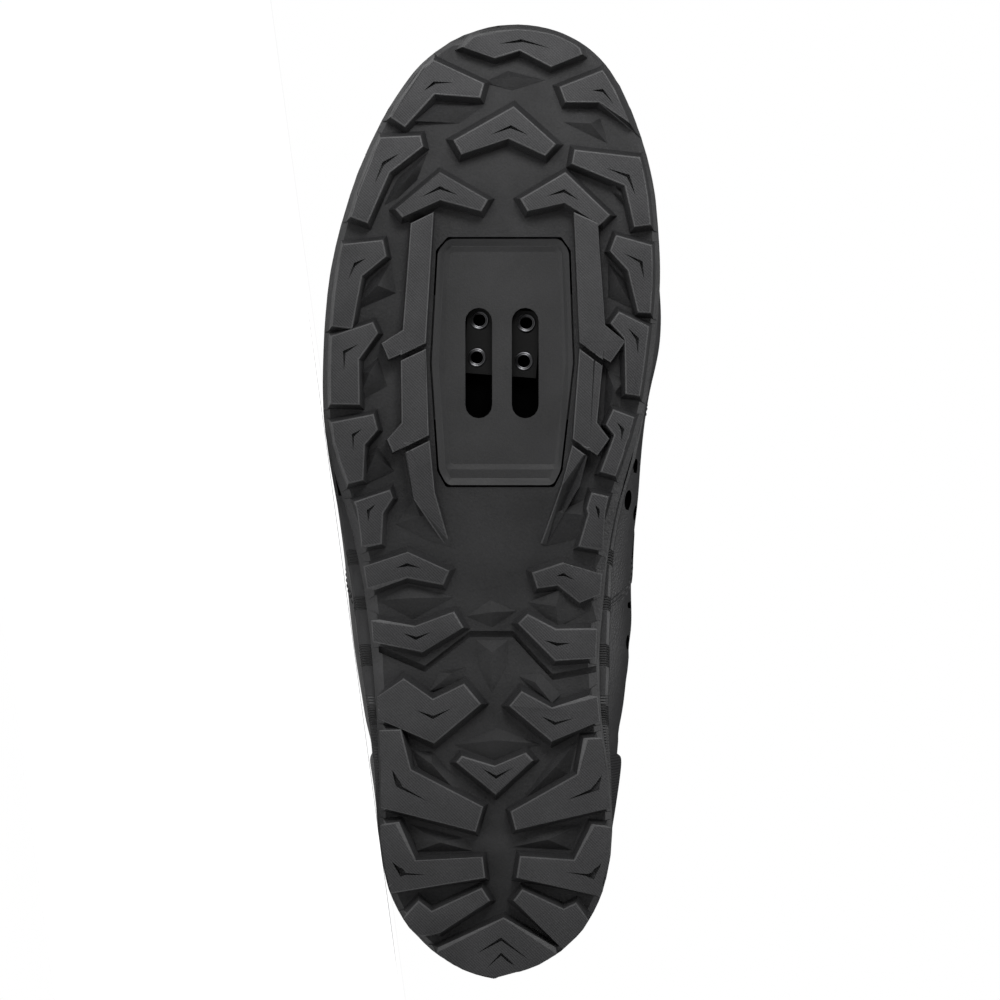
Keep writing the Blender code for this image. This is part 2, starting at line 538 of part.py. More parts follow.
def upper_grid():
    """Outer face of the upper: rows from the lasting margin up to the opening, columns round the ring."""
    base = FEATHER + GAP
    foot = SHELL - OUT * FEATHER_INSET
    swell = around_sides(UPPER_AT["swell_out"], UPPER_AT["swell_in"]) / 1000 + FEATHER_INSET
    up = around(UPPER_AT["wide_up"]) / 1000
    rows = [np.column_stack([foot - OUT * MARGIN, base]),
            np.column_stack([foot - OUT * 0.0024, base]),
            np.column_stack([foot - OUT * 0.0005, base + 0.0008]),
            np.column_stack([foot + OUT * (0.12 * swell)[:, None], base + 0.0030]),
            np.column_stack([foot + OUT * (0.72 * swell)[:, None], base + 0.0030 + 0.45 * (up - 0.003)])]
    wide = np.column_stack([foot + OUT * swell[:, None], base + up])
    rows.append(wide)
    side = np.concatenate([np.ones(LAST + 1), -np.ones(LAST - 1)])
    mouth = np.column_stack([LENGTH * (0.5 - around(UPPER_AT["mouth_along"])),
                             MOUTH_MIDDLE + side * around(UPPER_AT["mouth_half"]) / 1000,
                             INSTEP_HEIGHT * around(UPPER_AT["mouth_up"])])
    lean = np.radians(around(UPPER_AT["lean"]))
    across = mouth[:, :2] - wide[:, :2]
    across /= np.linalg.norm(across, axis=1)[:, None]
    reach = np.linalg.norm(mouth - wide, axis=1)
    climb = np.maximum(mouth[:, 2] - wide[:, 2], 0.008)
    first = wide + np.column_stack([np.zeros((RING, 2)), 0.50 * climb])
    slope = np.column_stack([across * np.cos(lean)[:, None], np.sin(lean)])
    second = mouth - slope * (0.45 * reach)[:, None]
    for t in CLIMB:
        rows.append((1 - t) ** 3 * wide + 3 * (1 - t) ** 2 * t * first
                    + 3 * (1 - t) * t * t * second + t ** 3 * mouth)
    return np.array(rows)


def grid_normals(grid):
    """Outward directions of the upper's grid."""
    up = np.gradient(grid, axis=0)
    run = np.roll(grid, -1, axis=1) - np.roll(grid, 1, axis=1)
    normal = np.cross(up, run)
    return normal / np.linalg.norm(normal, axis=2)[:, :, None]


SKIN = upper_grid()
NORMAL = grid_normals(SKIN)
ROWS = len(SKIN)
WIDE_ROW = 5


def upper_thickness():
    """Wall at each point of the grid: plain leather, padded towards the collar."""
    pad = around(UPPER_AT["pad"])
    rise = np.clip((np.arange(ROWS) - (WIDE_ROW + 2)) / (ROWS - 1 - WIDE_ROW - 3), 0, 1)
    rise = rise * rise * (3 - 2 * rise)
    return WALL + COLLAR_PAD * rise[:, None] * pad[None, :]


THICKNESS = upper_thickness()
LINING = SKIN - NORMAL * THICKNESS[:, :, None]
LINING[0] = SKIN[0] + np.array([0, 0, WALL])
LINING[1] = SKIN[1] + np.array([0, 0, WALL])


def build_upper():
    """One hollow wall, open under the foot, with a rolled rim at the opening."""
    rim = (SKIN[-1] + LINING[-1]) / 2
    climb = SKIN[-1] - SKIN[-2]
    climb /= np.linalg.norm(climb, axis=1)[:, None]
    rim = rim + climb * (0.35 * THICKNESS[-1])[:, None]
    loops = list(SKIN) + [rim] + list(LINING[::-1])
    count = len(loops)
    faces = []
    for r in range(count):
        s = (r + 1) % count
        for c in range(RING):
            d = (c + 1) % RING
            faces.append((r * RING + c, r * RING + d, s * RING + d, s * RING + c))
    return new_object("upper", np.concatenate(loops), faces)


def overlay(name, middle, reach, first_row, last_row, slant):
    """Moulded piece over the upper, between two faces from the upper's own grid."""
    low, high = [], []
    for r in range(first_row, last_row + 1):
        back = slant * (r - first_row) / (last_row - first_row)
        positions = [-reach + back] + list(range(1 - reach, reach)) + [reach - back]
        inner, outer = [], []
        for p in positions:
            whole = math.floor(p)
            part = p - whole
            i, j = (middle + whole) % RING, (middle + whole + 1) % RING
            point = SKIN[r, i] * (1 - part) + SKIN[r, j] * part
            normal = NORMAL[r, i] * (1 - part) + NORMAL[r, j] * part
            inner.append(point + normal * OVERLAY_LIFT)
            outer.append(point + normal * (OVERLAY_LIFT + OVERLAY))
        low.append(inner)
        high.append(outer)
    return grid_solid(name, np.array(high), np.array(low))


def down_from_mouth(grid, column, distance):
    """Point on a column of a grid, at a distance below the opening, and the direction out there."""
    left = distance
    for r in range(ROWS - 1, 0, -1):
        step = np.linalg.norm(grid[r, column] - grid[r - 1, column])
        if left <= step:
            part = left / step
            point = grid[r, column] * (1 - part) + grid[r - 1, column] * part
            normal = NORMAL[r, column] * (1 - part) + NORMAL[r - 1, column] * part
            return point, normal / np.linalg.norm(normal)
        left -= step
    return grid[0, column], NORMAL[0, column]


def bridge(start, before, finish, after, share):
    """Point on a smooth curve from one edge of the throat to the other."""
    span = np.linalg.norm(finish - start)
    leave = (start - before) / np.linalg.norm(start - before) * span
    arrive = (after - finish) / np.linalg.norm(after - finish) * span
    s = share
    return ((2 * s ** 3 - 3 * s ** 2 + 1) * start + (s ** 3 - 2 * s ** 2 + s) * leave
            + (3 * s ** 2 - 2 * s ** 3) * finish + (s ** 3 - s ** 2) * arrive)


def build_tongue():
    """Padded tongue: under both edges of the throat and across it, then on above the collar."""
    top_row = int(np.argmin(np.abs(UPPER_AT["mouth_along"] - 0.402)))
    high, low = [], []
    for station in list(range(1, top_row, 2)) + [top_row]:
        arms = []
        for column in (station, RING - station):
            points = [down_from_mouth(LINING, column, d) for d in (0.011, 0.0065, 0.002)]
            arms.append([(p - n * 0.0006, n) for p, n in points])
        left, right = arms
        row = list(left)
        for share in (0.2, 0.4, 0.6, 0.8):
            point = bridge(left[-1][0], left[-2][0], right[-1][0], right[-2][0], share)
            normal = left[-1][1] * (1 - share) + right[-1][1] * share
            row.append((point, normal / np.linalg.norm(normal)))
        row += right[::-1]
        high.append([p for p, n in row])
        low.append([p - n * TONGUE for p, n in row])
    top, under = high[-1], low[-1]
    middle = sum(top) / len(top)
    for rise, width, drop in TONGUE_END:
        shift = np.array([0.70 * rise, 0, 0.85 * rise])
        squeeze = np.array([drop, width, drop])
        high.append([middle + (p - middle) * squeeze + shift for p in top])
        low.append([middle + (p - middle) * squeeze + shift for p in under])
    return grid_solid("tongue", np.array(high), np.array(low))


def crossing(grid, row, side, x):
    """Station, with its fraction, where a row of the grid crosses a plane across the shoe."""
    stations = np.arange(LAST + 1)
    reach = [grid[row, side_index(i, side), 0] for i in stations]
    return float(np.interp(x, reach, stations))


def build_strap(name, along, width, first_out, first_in):
    """Plain strap straight over the throat, pressed to both sides of the upper."""
    low, high = [], []
    for offset in (-1.0, -0.33, 0.33, 1.0):
        x = LENGTH * (0.5 - along) + offset * width / 2
        sides = []
        for side, first in ((1, first_out), (-1, first_in)):
            points = []
            for r in range(first, ROWS):
                station = crossing(SKIN, r, side, x)
                whole = int(math.floor(station))
                part = station - whole
                a, b = side_index(whole, side), side_index(whole + 1, side)
                point = SKIN[r, a] * (1 - part) + SKIN[r, b] * part
                normal = NORMAL[r, a] * (1 - part) + NORMAL[r, b] * part
                points.append((point, normal / np.linalg.norm(normal)))
            sides.append(points)
        left, right = sides
        for lift, rows in ((STRAP_LIFT, low), (STRAP_LIFT + STRAP, high)):
            a = [p + n * lift for p, n in left]
            b = [p + n * lift for p, n in right]
            middle = [bridge(a[-1], a[-2], b[-1], b[-2], s) for s in (0.25, 0.5, 0.75)]
            rows.append(a + middle + b[::-1])
    return grid_solid(name, np.array(high), np.array(low))


def side_index(station, side):
    return station % RING if side > 0 else (RING - station) % RING


def build_insole():
    base = FEATHER + GAP + WALL + GAP
    drawn_in = np.maximum(0.0, -around_sides(UPPER_AT["swell_out"], UPPER_AT["swell_in"]) / 1000 - FEATHER_INSET)
    inner = SHELL - OUT * (FEATHER_INSET + WALL + drawn_in)[:, None]
    return slab_solid("insole", [
        ring(inner, 0.0042, base),
        ring(inner, 0.0020, base + 0.0016),
        ring(inner, 0.0014, base + INSOLE + 0.0010),
        ring(inner, 0.0070, base + INSOLE - 0.0004),
    ])


def build_heel_tab():
    """Webbing pull tab, stitched flat to the back of the collar and standing above its rim."""
    path = [SKIN[r, LAST] + NORMAL[r, LAST] * TAB_LIFT for r in (ROWS - 3, ROWS - 2, ROWS - 1)]
    path += [path[-1] + np.array([lean, 0, rise]) for lean, rise in TAB_END]
    run = np.gradient(np.array(path), axis=0)
    run /= np.linalg.norm(run, axis=1)[:, None]
    front = np.stack([run[:, 2], np.zeros(len(run)), -run[:, 0]], axis=1) * TAB / 2
    across = [np.array([0, w * TAB_HALF, 0]) for w in (-1, 1)]
    faces = [np.array([[p + d + w for w in across] for p, d in zip(path, side)]) for side in (front, -front)]
    return grid_solid("heel_tab", faces[0], faces[1])


MATERIALS = {
    "outsole": ("rubber", (0.030, 0.030, 0.031), 0.62, 0.0),
    "midsole": ("shell", (0.024, 0.024, 0.025), 0.50, 0.0),
    "cleat_plate": ("plate", (0.022, 0.022, 0.023), 0.45, 0.0),
    "cleat_nut": ("steel", (0.45, 0.45, 0.46), 0.35, 1.0),
    "insole": ("foot bed", (0.030, 0.030, 0.032), 0.90, 0.0),
    "upper": ("synthetic leather", (0.022, 0.022, 0.023), 0.55, 0.0),
    "toe_cap": ("toe rubber", (0.026, 0.026, 0.027), 0.60, 0.0),
    "heel_counter": ("moulded counter", (0.020, 0.020, 0.021), 0.45, 0.0),
    "tongue": ("padded mesh", (0.018, 0.018, 0.019), 0.90, 0.0),
    "strap": ("webbing", (0.020, 0.020, 0.021), 0.80, 0.0),
    "heel_tab": ("tab webbing", (0.020, 0.020, 0.021), 0.80, 0.0),
}
# Rough densities, only to find the side that the shoe comes to rest on
DENSITY = {"outsole": 1150, "midsole": 1050, "cleat_plate": 1100, "cleat_nut": 7800}
SOFT_DENSITY = 600


def paint(obj):
    key = "strap" if obj.name.startswith("strap") else obj.name
    label, colour, rough, metal = MATERIALS[key]
    material = bpy.data.materials.get(label) or bpy.data.materials.new(label)
    material.use_nodes = True
    shader = material.node_tree.nodes["Principled BSDF"]
    shader.inputs["Base Color"].default_value = (*colour, 1.0)
    shader.inputs["Roughness"].default_value = rough
    shader.inputs["Metallic"].default_value = metal
    obj.data.materials.clear()
    obj.data.materials.append(material)


def weight_middle(objects):
    """Centre of mass of the standing shoe."""
    total, moment = 0.0, Vector((0, 0, 0))
    for obj in objects:
        density = DENSITY.get(obj.name, SOFT_DENSITY)
        solid = bmesh.new()
        solid.from_mesh(obj.data)
        bmesh.ops.triangulate(solid, faces=solid.faces)
        for face in solid.faces:
            a, b, c = (v.co for v in face.verts)
            volume = density * a.dot(b.cross(c)) / 6
            total += volume
            moment += volume * (a + b + c) / 4
        solid.free()
    return moment / total


def resting_side(objects):
    """Direction of the hull's side that carries the shoe when it lies on its outer side."""
    points = [v.co.copy() for obj in objects for v in obj.data.vertices]
    middle = weight_middle(objects)
    hull = bmesh.new()
    for p in points:
        hull.verts.new(p)
    bmesh.ops.convex_hull(hull, input=hull.verts)
    best, best_score = Vector((0, 1, 0)), -2.0
    for face in hull.faces:
        normal = face.normal
        if (face.calc_center_median() - middle).dot(normal) < 0:
            normal = -normal
        foot = middle + normal * (face.verts[0].co - middle).dot(normal)
        inside = [(face.verts[(i + 1) % 3].co - face.verts[i].co).cross(foot - face.verts[i].co).dot(normal)
                  for i in range(3)]
        held = all(v >= 0 for v in inside) or all(v <= 0 for v in inside)
        if held and normal.y > best_score:
            best, best_score = normal.copy(), normal.y
    hull.free()
    return best


def lay_down(objects):
    """Turn the shoe onto its outer side, the sole facing -Y, and put it on the floor at the origin."""
    down = resting_side(objects)
    roll = Matrix.Rotation(math.radians(-90), 4, "X")
    settle = (roll @ down).rotation_difference(Vector((0, 0, -1))).to_matrix().to_4x4()
    for obj in objects:
        obj.data.transform(settle @ roll)
    points = np.array([v.co[:] for obj in objects for v in obj.data.vertices])
    low, high = points.min(axis=0), points.max(axis=0)
    shift = Matrix.Translation((-(low[0] + high[0]) / 2, -(low[1] + high[1]) / 2, -low[2]))
    for obj in objects:
        obj.data.transform(shift)


def main():
    for obj in list(bpy.data.objects):
        bpy.data.objects.remove(obj, do_unlink=True)
    objects = [
        build_outsole(),
        build_midsole(),
        build_plate(),
        build_nut(),
        build_insole(),
        build_upper(),
        overlay("toe_cap", 0, 5, 2, WIDE_ROW + 2, 0.6),
        overlay("heel_counter", LAST, 9, 2, WIDE_ROW + 3, 0.9),
        build_tongue(),
        build_strap("strap_front", 0.615, 0.019, WIDE_ROW + 3, WIDE_ROW + 2),
        build_strap("strap_middle", 0.526, 0.020, WIDE_ROW + 3, WIDE_ROW + 2),
        build_strap("strap_instep", 0.439, 0.020, WIDE_ROW + 3, WIDE_ROW + 2),
        build_heel_tab(),
    ]
    for obj in objects:
        paint(obj)
    lay_down(objects)


main()
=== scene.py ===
import json
import math
import bmesh
import bpy
from mathutils import Matrix, Vector


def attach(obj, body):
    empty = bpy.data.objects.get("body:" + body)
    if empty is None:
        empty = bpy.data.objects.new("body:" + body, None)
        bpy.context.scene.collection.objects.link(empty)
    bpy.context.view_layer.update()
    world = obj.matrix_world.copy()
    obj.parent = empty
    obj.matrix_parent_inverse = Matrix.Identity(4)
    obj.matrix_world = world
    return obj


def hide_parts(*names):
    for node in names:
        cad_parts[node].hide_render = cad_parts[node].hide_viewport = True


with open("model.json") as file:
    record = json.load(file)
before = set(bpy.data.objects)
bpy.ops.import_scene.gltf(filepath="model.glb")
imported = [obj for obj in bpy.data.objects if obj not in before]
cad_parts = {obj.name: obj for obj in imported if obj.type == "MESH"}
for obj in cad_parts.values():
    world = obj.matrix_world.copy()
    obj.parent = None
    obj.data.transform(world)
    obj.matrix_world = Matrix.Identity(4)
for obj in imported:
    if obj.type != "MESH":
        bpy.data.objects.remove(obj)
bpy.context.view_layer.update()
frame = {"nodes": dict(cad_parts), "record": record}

# The shoe's own directions, as it lies on its outer side.
SEAT = frame["record"]["mounts"][0]
DOWN = Vector(SEAT["axis"]).normalized()             # straight out of the tread
TOE = Vector((-0.99104, -0.00219, 0.13357))
TOE = (TOE - DOWN * TOE.dot(DOWN)).normalized()      # towards the toe
ARCH = TOE.cross(DOWN)                               # towards the arch side, which is up
SEAT_FROM_MIDDLE = (0.04125, 0.0006, 0.0059)         # the cleat seat: towards toe, towards arch, depth
MIDDLE = Vector(SEAT["pos_m"]) - TOE * SEAT_FROM_MIDDLE[0] - ARCH * SEAT_FROM_MIDDLE[1] \
    + DOWN * SEAT_FROM_MIDDLE[2]                     # middle of the tread, in the plane of the lugs
MM = 0.001


def on_sole(across, along, depth=0.0):
    """A point by millimetres: across to the arch side, along to the toe, depth into the sole."""
    return MIDDLE + ARCH * (across * MM) + TOE * (along * MM) - DOWN * (depth * MM)


# Camera

VIEW_DISTANCE = 1.4              # metres; from much further off the camera would be under the floor
VIEW_WIDTH = 0.29979             # metres across the picture, in the plane of the tread
EYE = MIDDLE + DOWN * VIEW_DISTANCE


def add_camera():
    lens = bpy.data.cameras.new("camera")
    lens.sensor_width = 36.0
    lens.lens = 36.0 * VIEW_DISTANCE / VIEW_WIDTH
    lens.clip_start = 0.05
    camera = bpy.data.objects.new("camera", lens)
    bpy.context.scene.collection.objects.link(camera)
    turn = Matrix((ARCH, TOE, DOWN)).transposed()
    camera.matrix_world = Matrix.Translation(EYE) @ turn.to_4x4()
    bpy.context.scene.camera = camera


# Modelling


def pick(*pieces):
    """Selects these pieces alone, the first one active."""
    bpy.ops.object.select_all(action="DESELECT")
    for piece in pieces:
        piece.select_set(True)
    bpy.context.view_layer.objects.active = pieces[0]


def edit(piece, kind="VERT"):
    """Enters edit mode with nothing selected, and gives the mesh. VERT, EDGE or FACE is what is picked."""
    pick(piece)
    bpy.ops.object.mode_set(mode="EDIT")
    bpy.ops.mesh.select_mode(type=kind)
    bpy.ops.mesh.select_all(action="DESELECT")
    return bmesh.from_edit_mesh(piece.data)


def leave():
    bpy.ops.object.mode_set(mode="OBJECT")


def put_back(piece):
    """Writes the moved corners back to the mesh and leaves edit mode."""
    bmesh.update_edit_mesh(piece.data)
    leave()


def copy_of(node, name, flat_angle=0.4):
    """A merged copy of a CAD piece, its flat faces whole again."""
    mesh = frame["nodes"][node].data.copy()
    mesh.name = name
    mesh.materials.clear()
    piece = bpy.data.objects.new(name, mesh)
    bpy.context.scene.collection.objects.link(piece)
    edit(piece)
    bpy.ops.mesh.select_all(action="SELECT")
    bpy.ops.mesh.customdata_custom_splitnormals_clear()
    bpy.ops.mesh.remove_doubles(threshold=0.000004)
    if flat_angle:
        bpy.ops.mesh.dissolve_limited(angle_limit=math.radians(flat_angle))
    leave()
    return piece


def quad_copy(node, name, levels=0):
    """A merged copy whose triangles are paired into quads again, subdivided smoothly."""
    piece = copy_of(node, name, 0)
    edit(piece)
    bpy.ops.mesh.select_all(action="SELECT")
    bpy.ops.mesh.tris_convert_to_quads(face_threshold=math.radians(60), shape_threshold=math.radians(60))
    leave()
    if levels:
        modify(piece, "SUBSURF", levels=levels, render_levels=levels)
    return piece


def modify(piece, kind, **settings):
    """Adds a modifier, sets it and applies it."""
    pick(piece)
    modifier = piece.modifiers.new(kind.lower(), kind)
    for name, value in settings.items():
        setattr(modifier, name, value)
    bpy.ops.object.modifier_apply(modifier=modifier.name)


def smooth(piece, angle):
    pick(piece)
    bpy.ops.object.shade_smooth_by_angle(angle=math.radians(angle))


def stands_for(piece, node, slot, *finishes):
    """The piece takes the place of a CAD node, with these materials. The slot is not used."""
    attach(piece, "root")
    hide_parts(node)
    for finish in finishes:
        piece.data.materials.append(finish)


# Materials


class Value:
    """One output of a shader node. Sums and products with it add Math nodes."""

    def __init__(self, finish, socket):
        self.finish = finish
        self.socket = socket

    def math(self, operation, *terms):
        return self.finish.node("ShaderNodeMath", {"operation": operation}, dict(enumerate(terms)))

    def __add__(self, other):
        return self.math("ADD", self, other)

    def __mul__(self, other):
        return self.math("MULTIPLY", self, other)

    def __sub__(self, other):
        return self.math("SUBTRACT", self, other)

    def __rsub__(self, other):
        return self.math("SUBTRACT", other, self)

    def __abs__(self):
        return self.math("ABSOLUTE", self)

    def wave(self):
        """The sine of this value, between nought and one."""
        return self.math("SINE", self) * 0.5 + 0.5


class Finish:
    """One material: a Principled shader with its fixed values, and nodes for what varies."""

    def __init__(self, name, colour, roughness, **fixed):
        self.material = bpy.data.materials.new(name)
        self.material.use_nodes = True
        self.material.diffuse_color = (*colour, 1)
        self.tree = self.material.node_tree
        self.shader = self.tree.nodes["Principled BSDF"]
        self.shader.inputs["Base Color"].default_value = (*colour, 1)
        self.shader.inputs["Roughness"].default_value = roughness
        for socket, value in fixed.items():
            self.shader.inputs[socket.replace("_", " ").title().replace("Ior", "IOR")].default_value = value
        self.here = self.node("ShaderNodeTexCoord", output="Object")

    def node(self, kind, settings=None, sockets=None, output=0):
        """Adds a node: its settings first, then its sockets' values or links. Gives one output."""
        made = self.tree.nodes.new(kind)
        for name, value in (settings or {}).items():
            setattr(made, name, value)
        for socket, value in (sockets or {}).items():
            if isinstance(value, Value):
                self.tree.links.new(value.socket, made.inputs[socket])
            else:
                made.inputs[socket].default_value = value
        return Value(self, made.outputs[output])

    def feed(self, socket, value):
        self.tree.links.new(value.socket, self.shader.inputs[socket])

    def noise(self, scale, detail=2.0, roughness=0.5):
        return self.node("ShaderNodeTexNoise", None,
                         {"Vector": self.here, "Scale": scale, "Detail": detail, "Roughness": roughness})

    def spread(self, value, low, high, out_low=0.0, out_high=1.0):
        return self.node("ShaderNodeMapRange", None, {"Value": value, 1: low, 2: high,
                                                      3: out_low, 4: out_high})

    def reading(self, way):
        """Millimetres from the middle of the tread along a direction."""
        run = self.node("ShaderNodeVectorMath", {"operation": "DOT_PRODUCT"},
                        {0: self.here, 1: tuple(way / MM)}, output="Value")
        return run - MIDDLE.dot(way) / MM

    def band(self, value, middle, half, soft=0.3):
        """One within half of the middle, falling to nothing over the soft edge."""
        return self.spread(abs(value - middle), half + soft, half)

    def between(self, factor, first, second):
        return self.node("ShaderNodeMix", {"data_type": "RGBA"}, {0: factor, 6: first, 7: second}, output=2)

    def relief(self, height, depth):
        """Bump of a real depth in metres."""
        bump = self.node("ShaderNodeBump", None, {"Height": height, "Distance": depth, "Strength": 1.0})
        self.feed("Normal", bump)


def shade(colour, share):
    """A colour made lighter or darker, with its alpha."""
    return tuple(c * share for c in colour) + (1,)


def rubber_finish(name, colour, roughness, hatch, gloss=0.16):
    """Moulded rubber: grained, clouded a little, and with a fine diagonal hatch on the lugs' faces."""
    finish = Finish(name, colour, roughness, specular_ior_level=gloss)
    grain = finish.noise(1500.0, 4.0, 0.6)
    tone = finish.noise(70.0, 3.0) * 0.5 + grain * 0.5
    if hatch:
        across_hatch = (TOE + ARCH).normalized()
        along_hatch = (TOE - ARCH).normalized()
        waves = []
        for way, pitch in ((across_hatch, 0.00066), (along_hatch, 0.00090)):
            run = finish.node("ShaderNodeVectorMath", {"operation": "DOT_PRODUCT"},
                              {0: finish.here, 1: tuple(way / pitch * 2 * math.pi)}, output="Value")
            waves.append(run.wave())
        weave = waves[0] * 0.75 + waves[0] * waves[1] * 0.35
        tone = tone * 0.72 + weave * 0.28
        finish.relief(weave + grain * 0.8, 0.00006)
    else:
        finish.relief(grain + finish.noise(600.0, 2.0) * 0.5, 0.00022)
    light = shade(colour, 1.45)
    dark = shade(colour, 0.60)
    finish.feed("Base Color", finish.between(finish.spread(tone, 0.25, 0.75), dark, light))
    finish.feed("Roughness", finish.spread(finish.noise(90.0), 0.3, 0.7, roughness - 0.05, roughness + 0.06))
    return finish.material


def plastic_finish(name, colour, roughness, ribs=None, panel=None):
    """Moulded plastic with a fine grain, upright ribs between two places, and a sunken panel."""
    finish = Finish(name, colour, roughness, specular_ior_level=0.2)
    grain = finish.noise(1700.0, 4.0, 0.6)
    height = grain * 0.4
    if ribs:
        along = finish.reading(TOE)
        run = along * (2 * math.pi / RIB_PITCH)
        height = height + run.wave() * finish.band(along, *ribs)
    if panel:
        left, right, rear, front = panel
        beside = finish.reading(ARCH) - (left + right) / 2
        ahead = finish.reading(TOE) - (rear + front) / 2
        side = abs(beside) - (right - left) / 2 + ahead * ahead * PANEL_SWELL
        end = abs(ahead) - (front - rear) / 2
        edge = side.math("SMOOTH_MAX", side, end, 2.5)
        height = height + finish.spread(edge, -1.3, 0.3) * 2.0
    finish.relief(height, 0.00026 if ribs else 0.00022)
    light = shade(colour, 1.3)
    dark = shade(colour, 0.75)
    tone = finish.noise(60.0, 3.0) * 0.6 + grain * 0.4
    finish.feed("Base Color", finish.between(finish.spread(tone, 0.3, 0.7), dark, light))
    finish.feed("Roughness", finish.spread(finish.noise(120.0), 0.3, 0.7, roughness - 0.05, roughness + 0.07))
    return finish.material


def shell_finish():
    """The shell's side: plain moulded faces with hatched lozenges and a ribbed panel by the heel."""
    finish = Finish("shell_plastic", (0.020, 0.020, 0.0206), 0.46, specular_ior_level=0.25)
    along, across = finish.reading(TOE), finish.reading(ARCH)
    grain = finish.noise(1700.0, 4.0, 0.6)
    hatched = None
    for middle, half in HATCHED:
        lozenge = finish.band(along + finish.reading(-DOWN) * 0.8, middle, half)
        hatched = lozenge if hatched is None else hatched + lozenge
    run = (along * 1.2 - finish.reading(DOWN) * 0.9) * (2 * math.pi / 0.9)
    ribbed = finish.band(along, -79.0, 20.0)
    rib = along * (2 * math.pi / RIB_PITCH)
    side = finish.spread(abs(across), 24.0, 27.0)
    cuts = run.wave() * hatched + rib.wave() * ribbed * 0.5
    finish.relief(grain * 0.4 + (1 - cuts * side), 0.00030)
    tone = finish.spread(grain * 0.5 + finish.noise(60.0, 3.0) * 0.5, 0.3, 0.7, 0.75, 1.0) \
        * (1 - hatched * side * 0.55)
    finish.feed("Base Color", finish.between(tone, (0.004, 0.004, 0.004, 1), (0.026, 0.026, 0.027, 1)))
    finish.feed("Roughness", finish.spread(finish.noise(120.0), 0.3, 0.7, 0.42, 0.52))
    return finish.material


def leather_finish(name, colour, roughness):
    """Coated leather: pores, soft wrinkles, and panels that step up behind their seams."""
    finish = Finish(name, colour, roughness, specular_ior_level=0.3)
    pores = finish.node("ShaderNodeTexVoronoi", {"feature": "DISTANCE_TO_EDGE"},
                        {"Vector": finish.here, "Scale": 950.0})
    wrinkles = finish.noise(260.0, 4.0, 0.6)
    height = finish.spread(pores, 0.0, 0.25) * 0.06 + wrinkles * 0.05
    for slope, start in SEAMS:
        run = finish.reading(TOE) - finish.reading(-DOWN) * slope - start
        height = height + finish.spread(run, 0.0, -0.6) - finish.band(run, -2.2, 0.35) * 0.35
    finish.relief(height, 0.0008)
    light = shade(colour, 1.25)
    dark = shade(colour, 0.78)
    tone = finish.noise(35.0, 3.0) * 0.5 + wrinkles * 0.5
    finish.feed("Base Color", finish.between(finish.spread(tone, 0.3, 0.7), dark, light))
    dull = finish.noise(70.0, 3.0)
    finish.feed("Roughness", finish.spread(dull, 0.3, 0.7, roughness - 0.06, roughness + 0.08))
    return finish.material


def cloth_finish(name, colour, pitch, weave=None):
    """Woven or knitted cloth: threads of this pitch. A weave direction makes it a ribbed tape."""
    finish = Finish(name, colour, 0.85, specular_ior_level=0.15, sheen_weight=0.1, sheen_roughness=0.5)
    threads = finish.node("ShaderNodeTexVoronoi", None, {"Vector": finish.here, "Scale": 1.0 / pitch})
    height = threads
    if weave:
        run = finish.reading(weave) * (2 * math.pi / (pitch / MM) * 0.5)
        height = threads * 0.5 + run.wave()
    finish.relief(height + finish.noise(1500.0) * 0.4, 0.00016)
    dark = shade(colour, 0.6)
    tone = threads * 0.7 + finish.noise(80.0, 3.0) * 0.5
    finish.feed("Base Color", finish.between(finish.spread(tone, 0.2, 0.8), (*colour, 1), dark))
    return finish.material


RIB_PITCH = 0.84                 # ribs of the heel panel, in millimetres
# Hatched lozenges on the shell's side: the middle and half width of each, along the shoe
HATCHED = ((-8.0, 1.9), (-21.0, 1.9), (-37.0, 3.2), (-56.0, 3.0))
# Seams of the upper: how much each leans forward as it rises, and where it starts at the tread
SEAMS = ((0.50, 15.0), (0.67, -46.7))
PLATE_PANEL = (-17.8, 20.2, 9.5, 76.0)   # the sunken panel of the plate: its sides, rear and front
PANEL_SWELL = 0.0015             # how its sides draw in towards its ends
# The tread's rubber comes in lit and shaded copies of one colour: the lugs' faces painted lighter than the
# floor as lit, the walls painted darker as shade.
rubber_top_lit = rubber_finish("rubber_hatched_painted_light", (0.0255, 0.0255, 0.0264), 0.7, True)
rubber_floor = rubber_finish("rubber_grained", (0.0165, 0.0165, 0.017), 0.7, False)
rubber_wall_shaded = rubber_finish("rubber_wall_painted_shade", (0.0125, 0.0125, 0.013), 0.6, False)
# The lugs' rounded edges: a painted highlight.
rubber_edge_highlight = rubber_finish("rubber_painted_highlight_edge", (0.036, 0.036, 0.037), 0.5, False, 0.3)
# The outward band round the rim, painted lighter as lit.
rubber_rim_painted_light = rubber_finish("rubber_rim_painted_light", (0.020, 0.020, 0.0208), 0.55, False, 0.3)
# A black that paints the shade in the pocket behind the slots and inside the vents.
painted_shade_black = Finish("painted_shade_black", (0.0008, 0.0008, 0.0008), 0.95, specular_ior_level=0.0).material
shell_plastic = shell_finish()
plate_plastic = plastic_finish("plate_plastic", (0.0165, 0.0165, 0.017), 0.55, panel=PLATE_PANEL)
upper_leather = leather_finish("upper_leather", (0.022, 0.022, 0.023), 0.5)
toe_rubber = plastic_finish("toe_rubber", (0.022, 0.022, 0.023), 0.6)
counter_plastic = plastic_finish("counter_plastic", (0.022, 0.022, 0.023), 0.42, (-100.0, 34.0))
strap_cloth = cloth_finish("strap_cloth", (0.022, 0.022, 0.023), 0.0007, TOE)
tab_cloth = cloth_finish("tab_cloth", (0.024, 0.024, 0.025), 0.0009, DOWN)
tongue_mesh = cloth_finish("tongue_mesh", (0.020, 0.020, 0.021), 0.0012)
lining_cloth = cloth_finish("lining_cloth", (0.026, 0.026, 0.027), 0.0009)
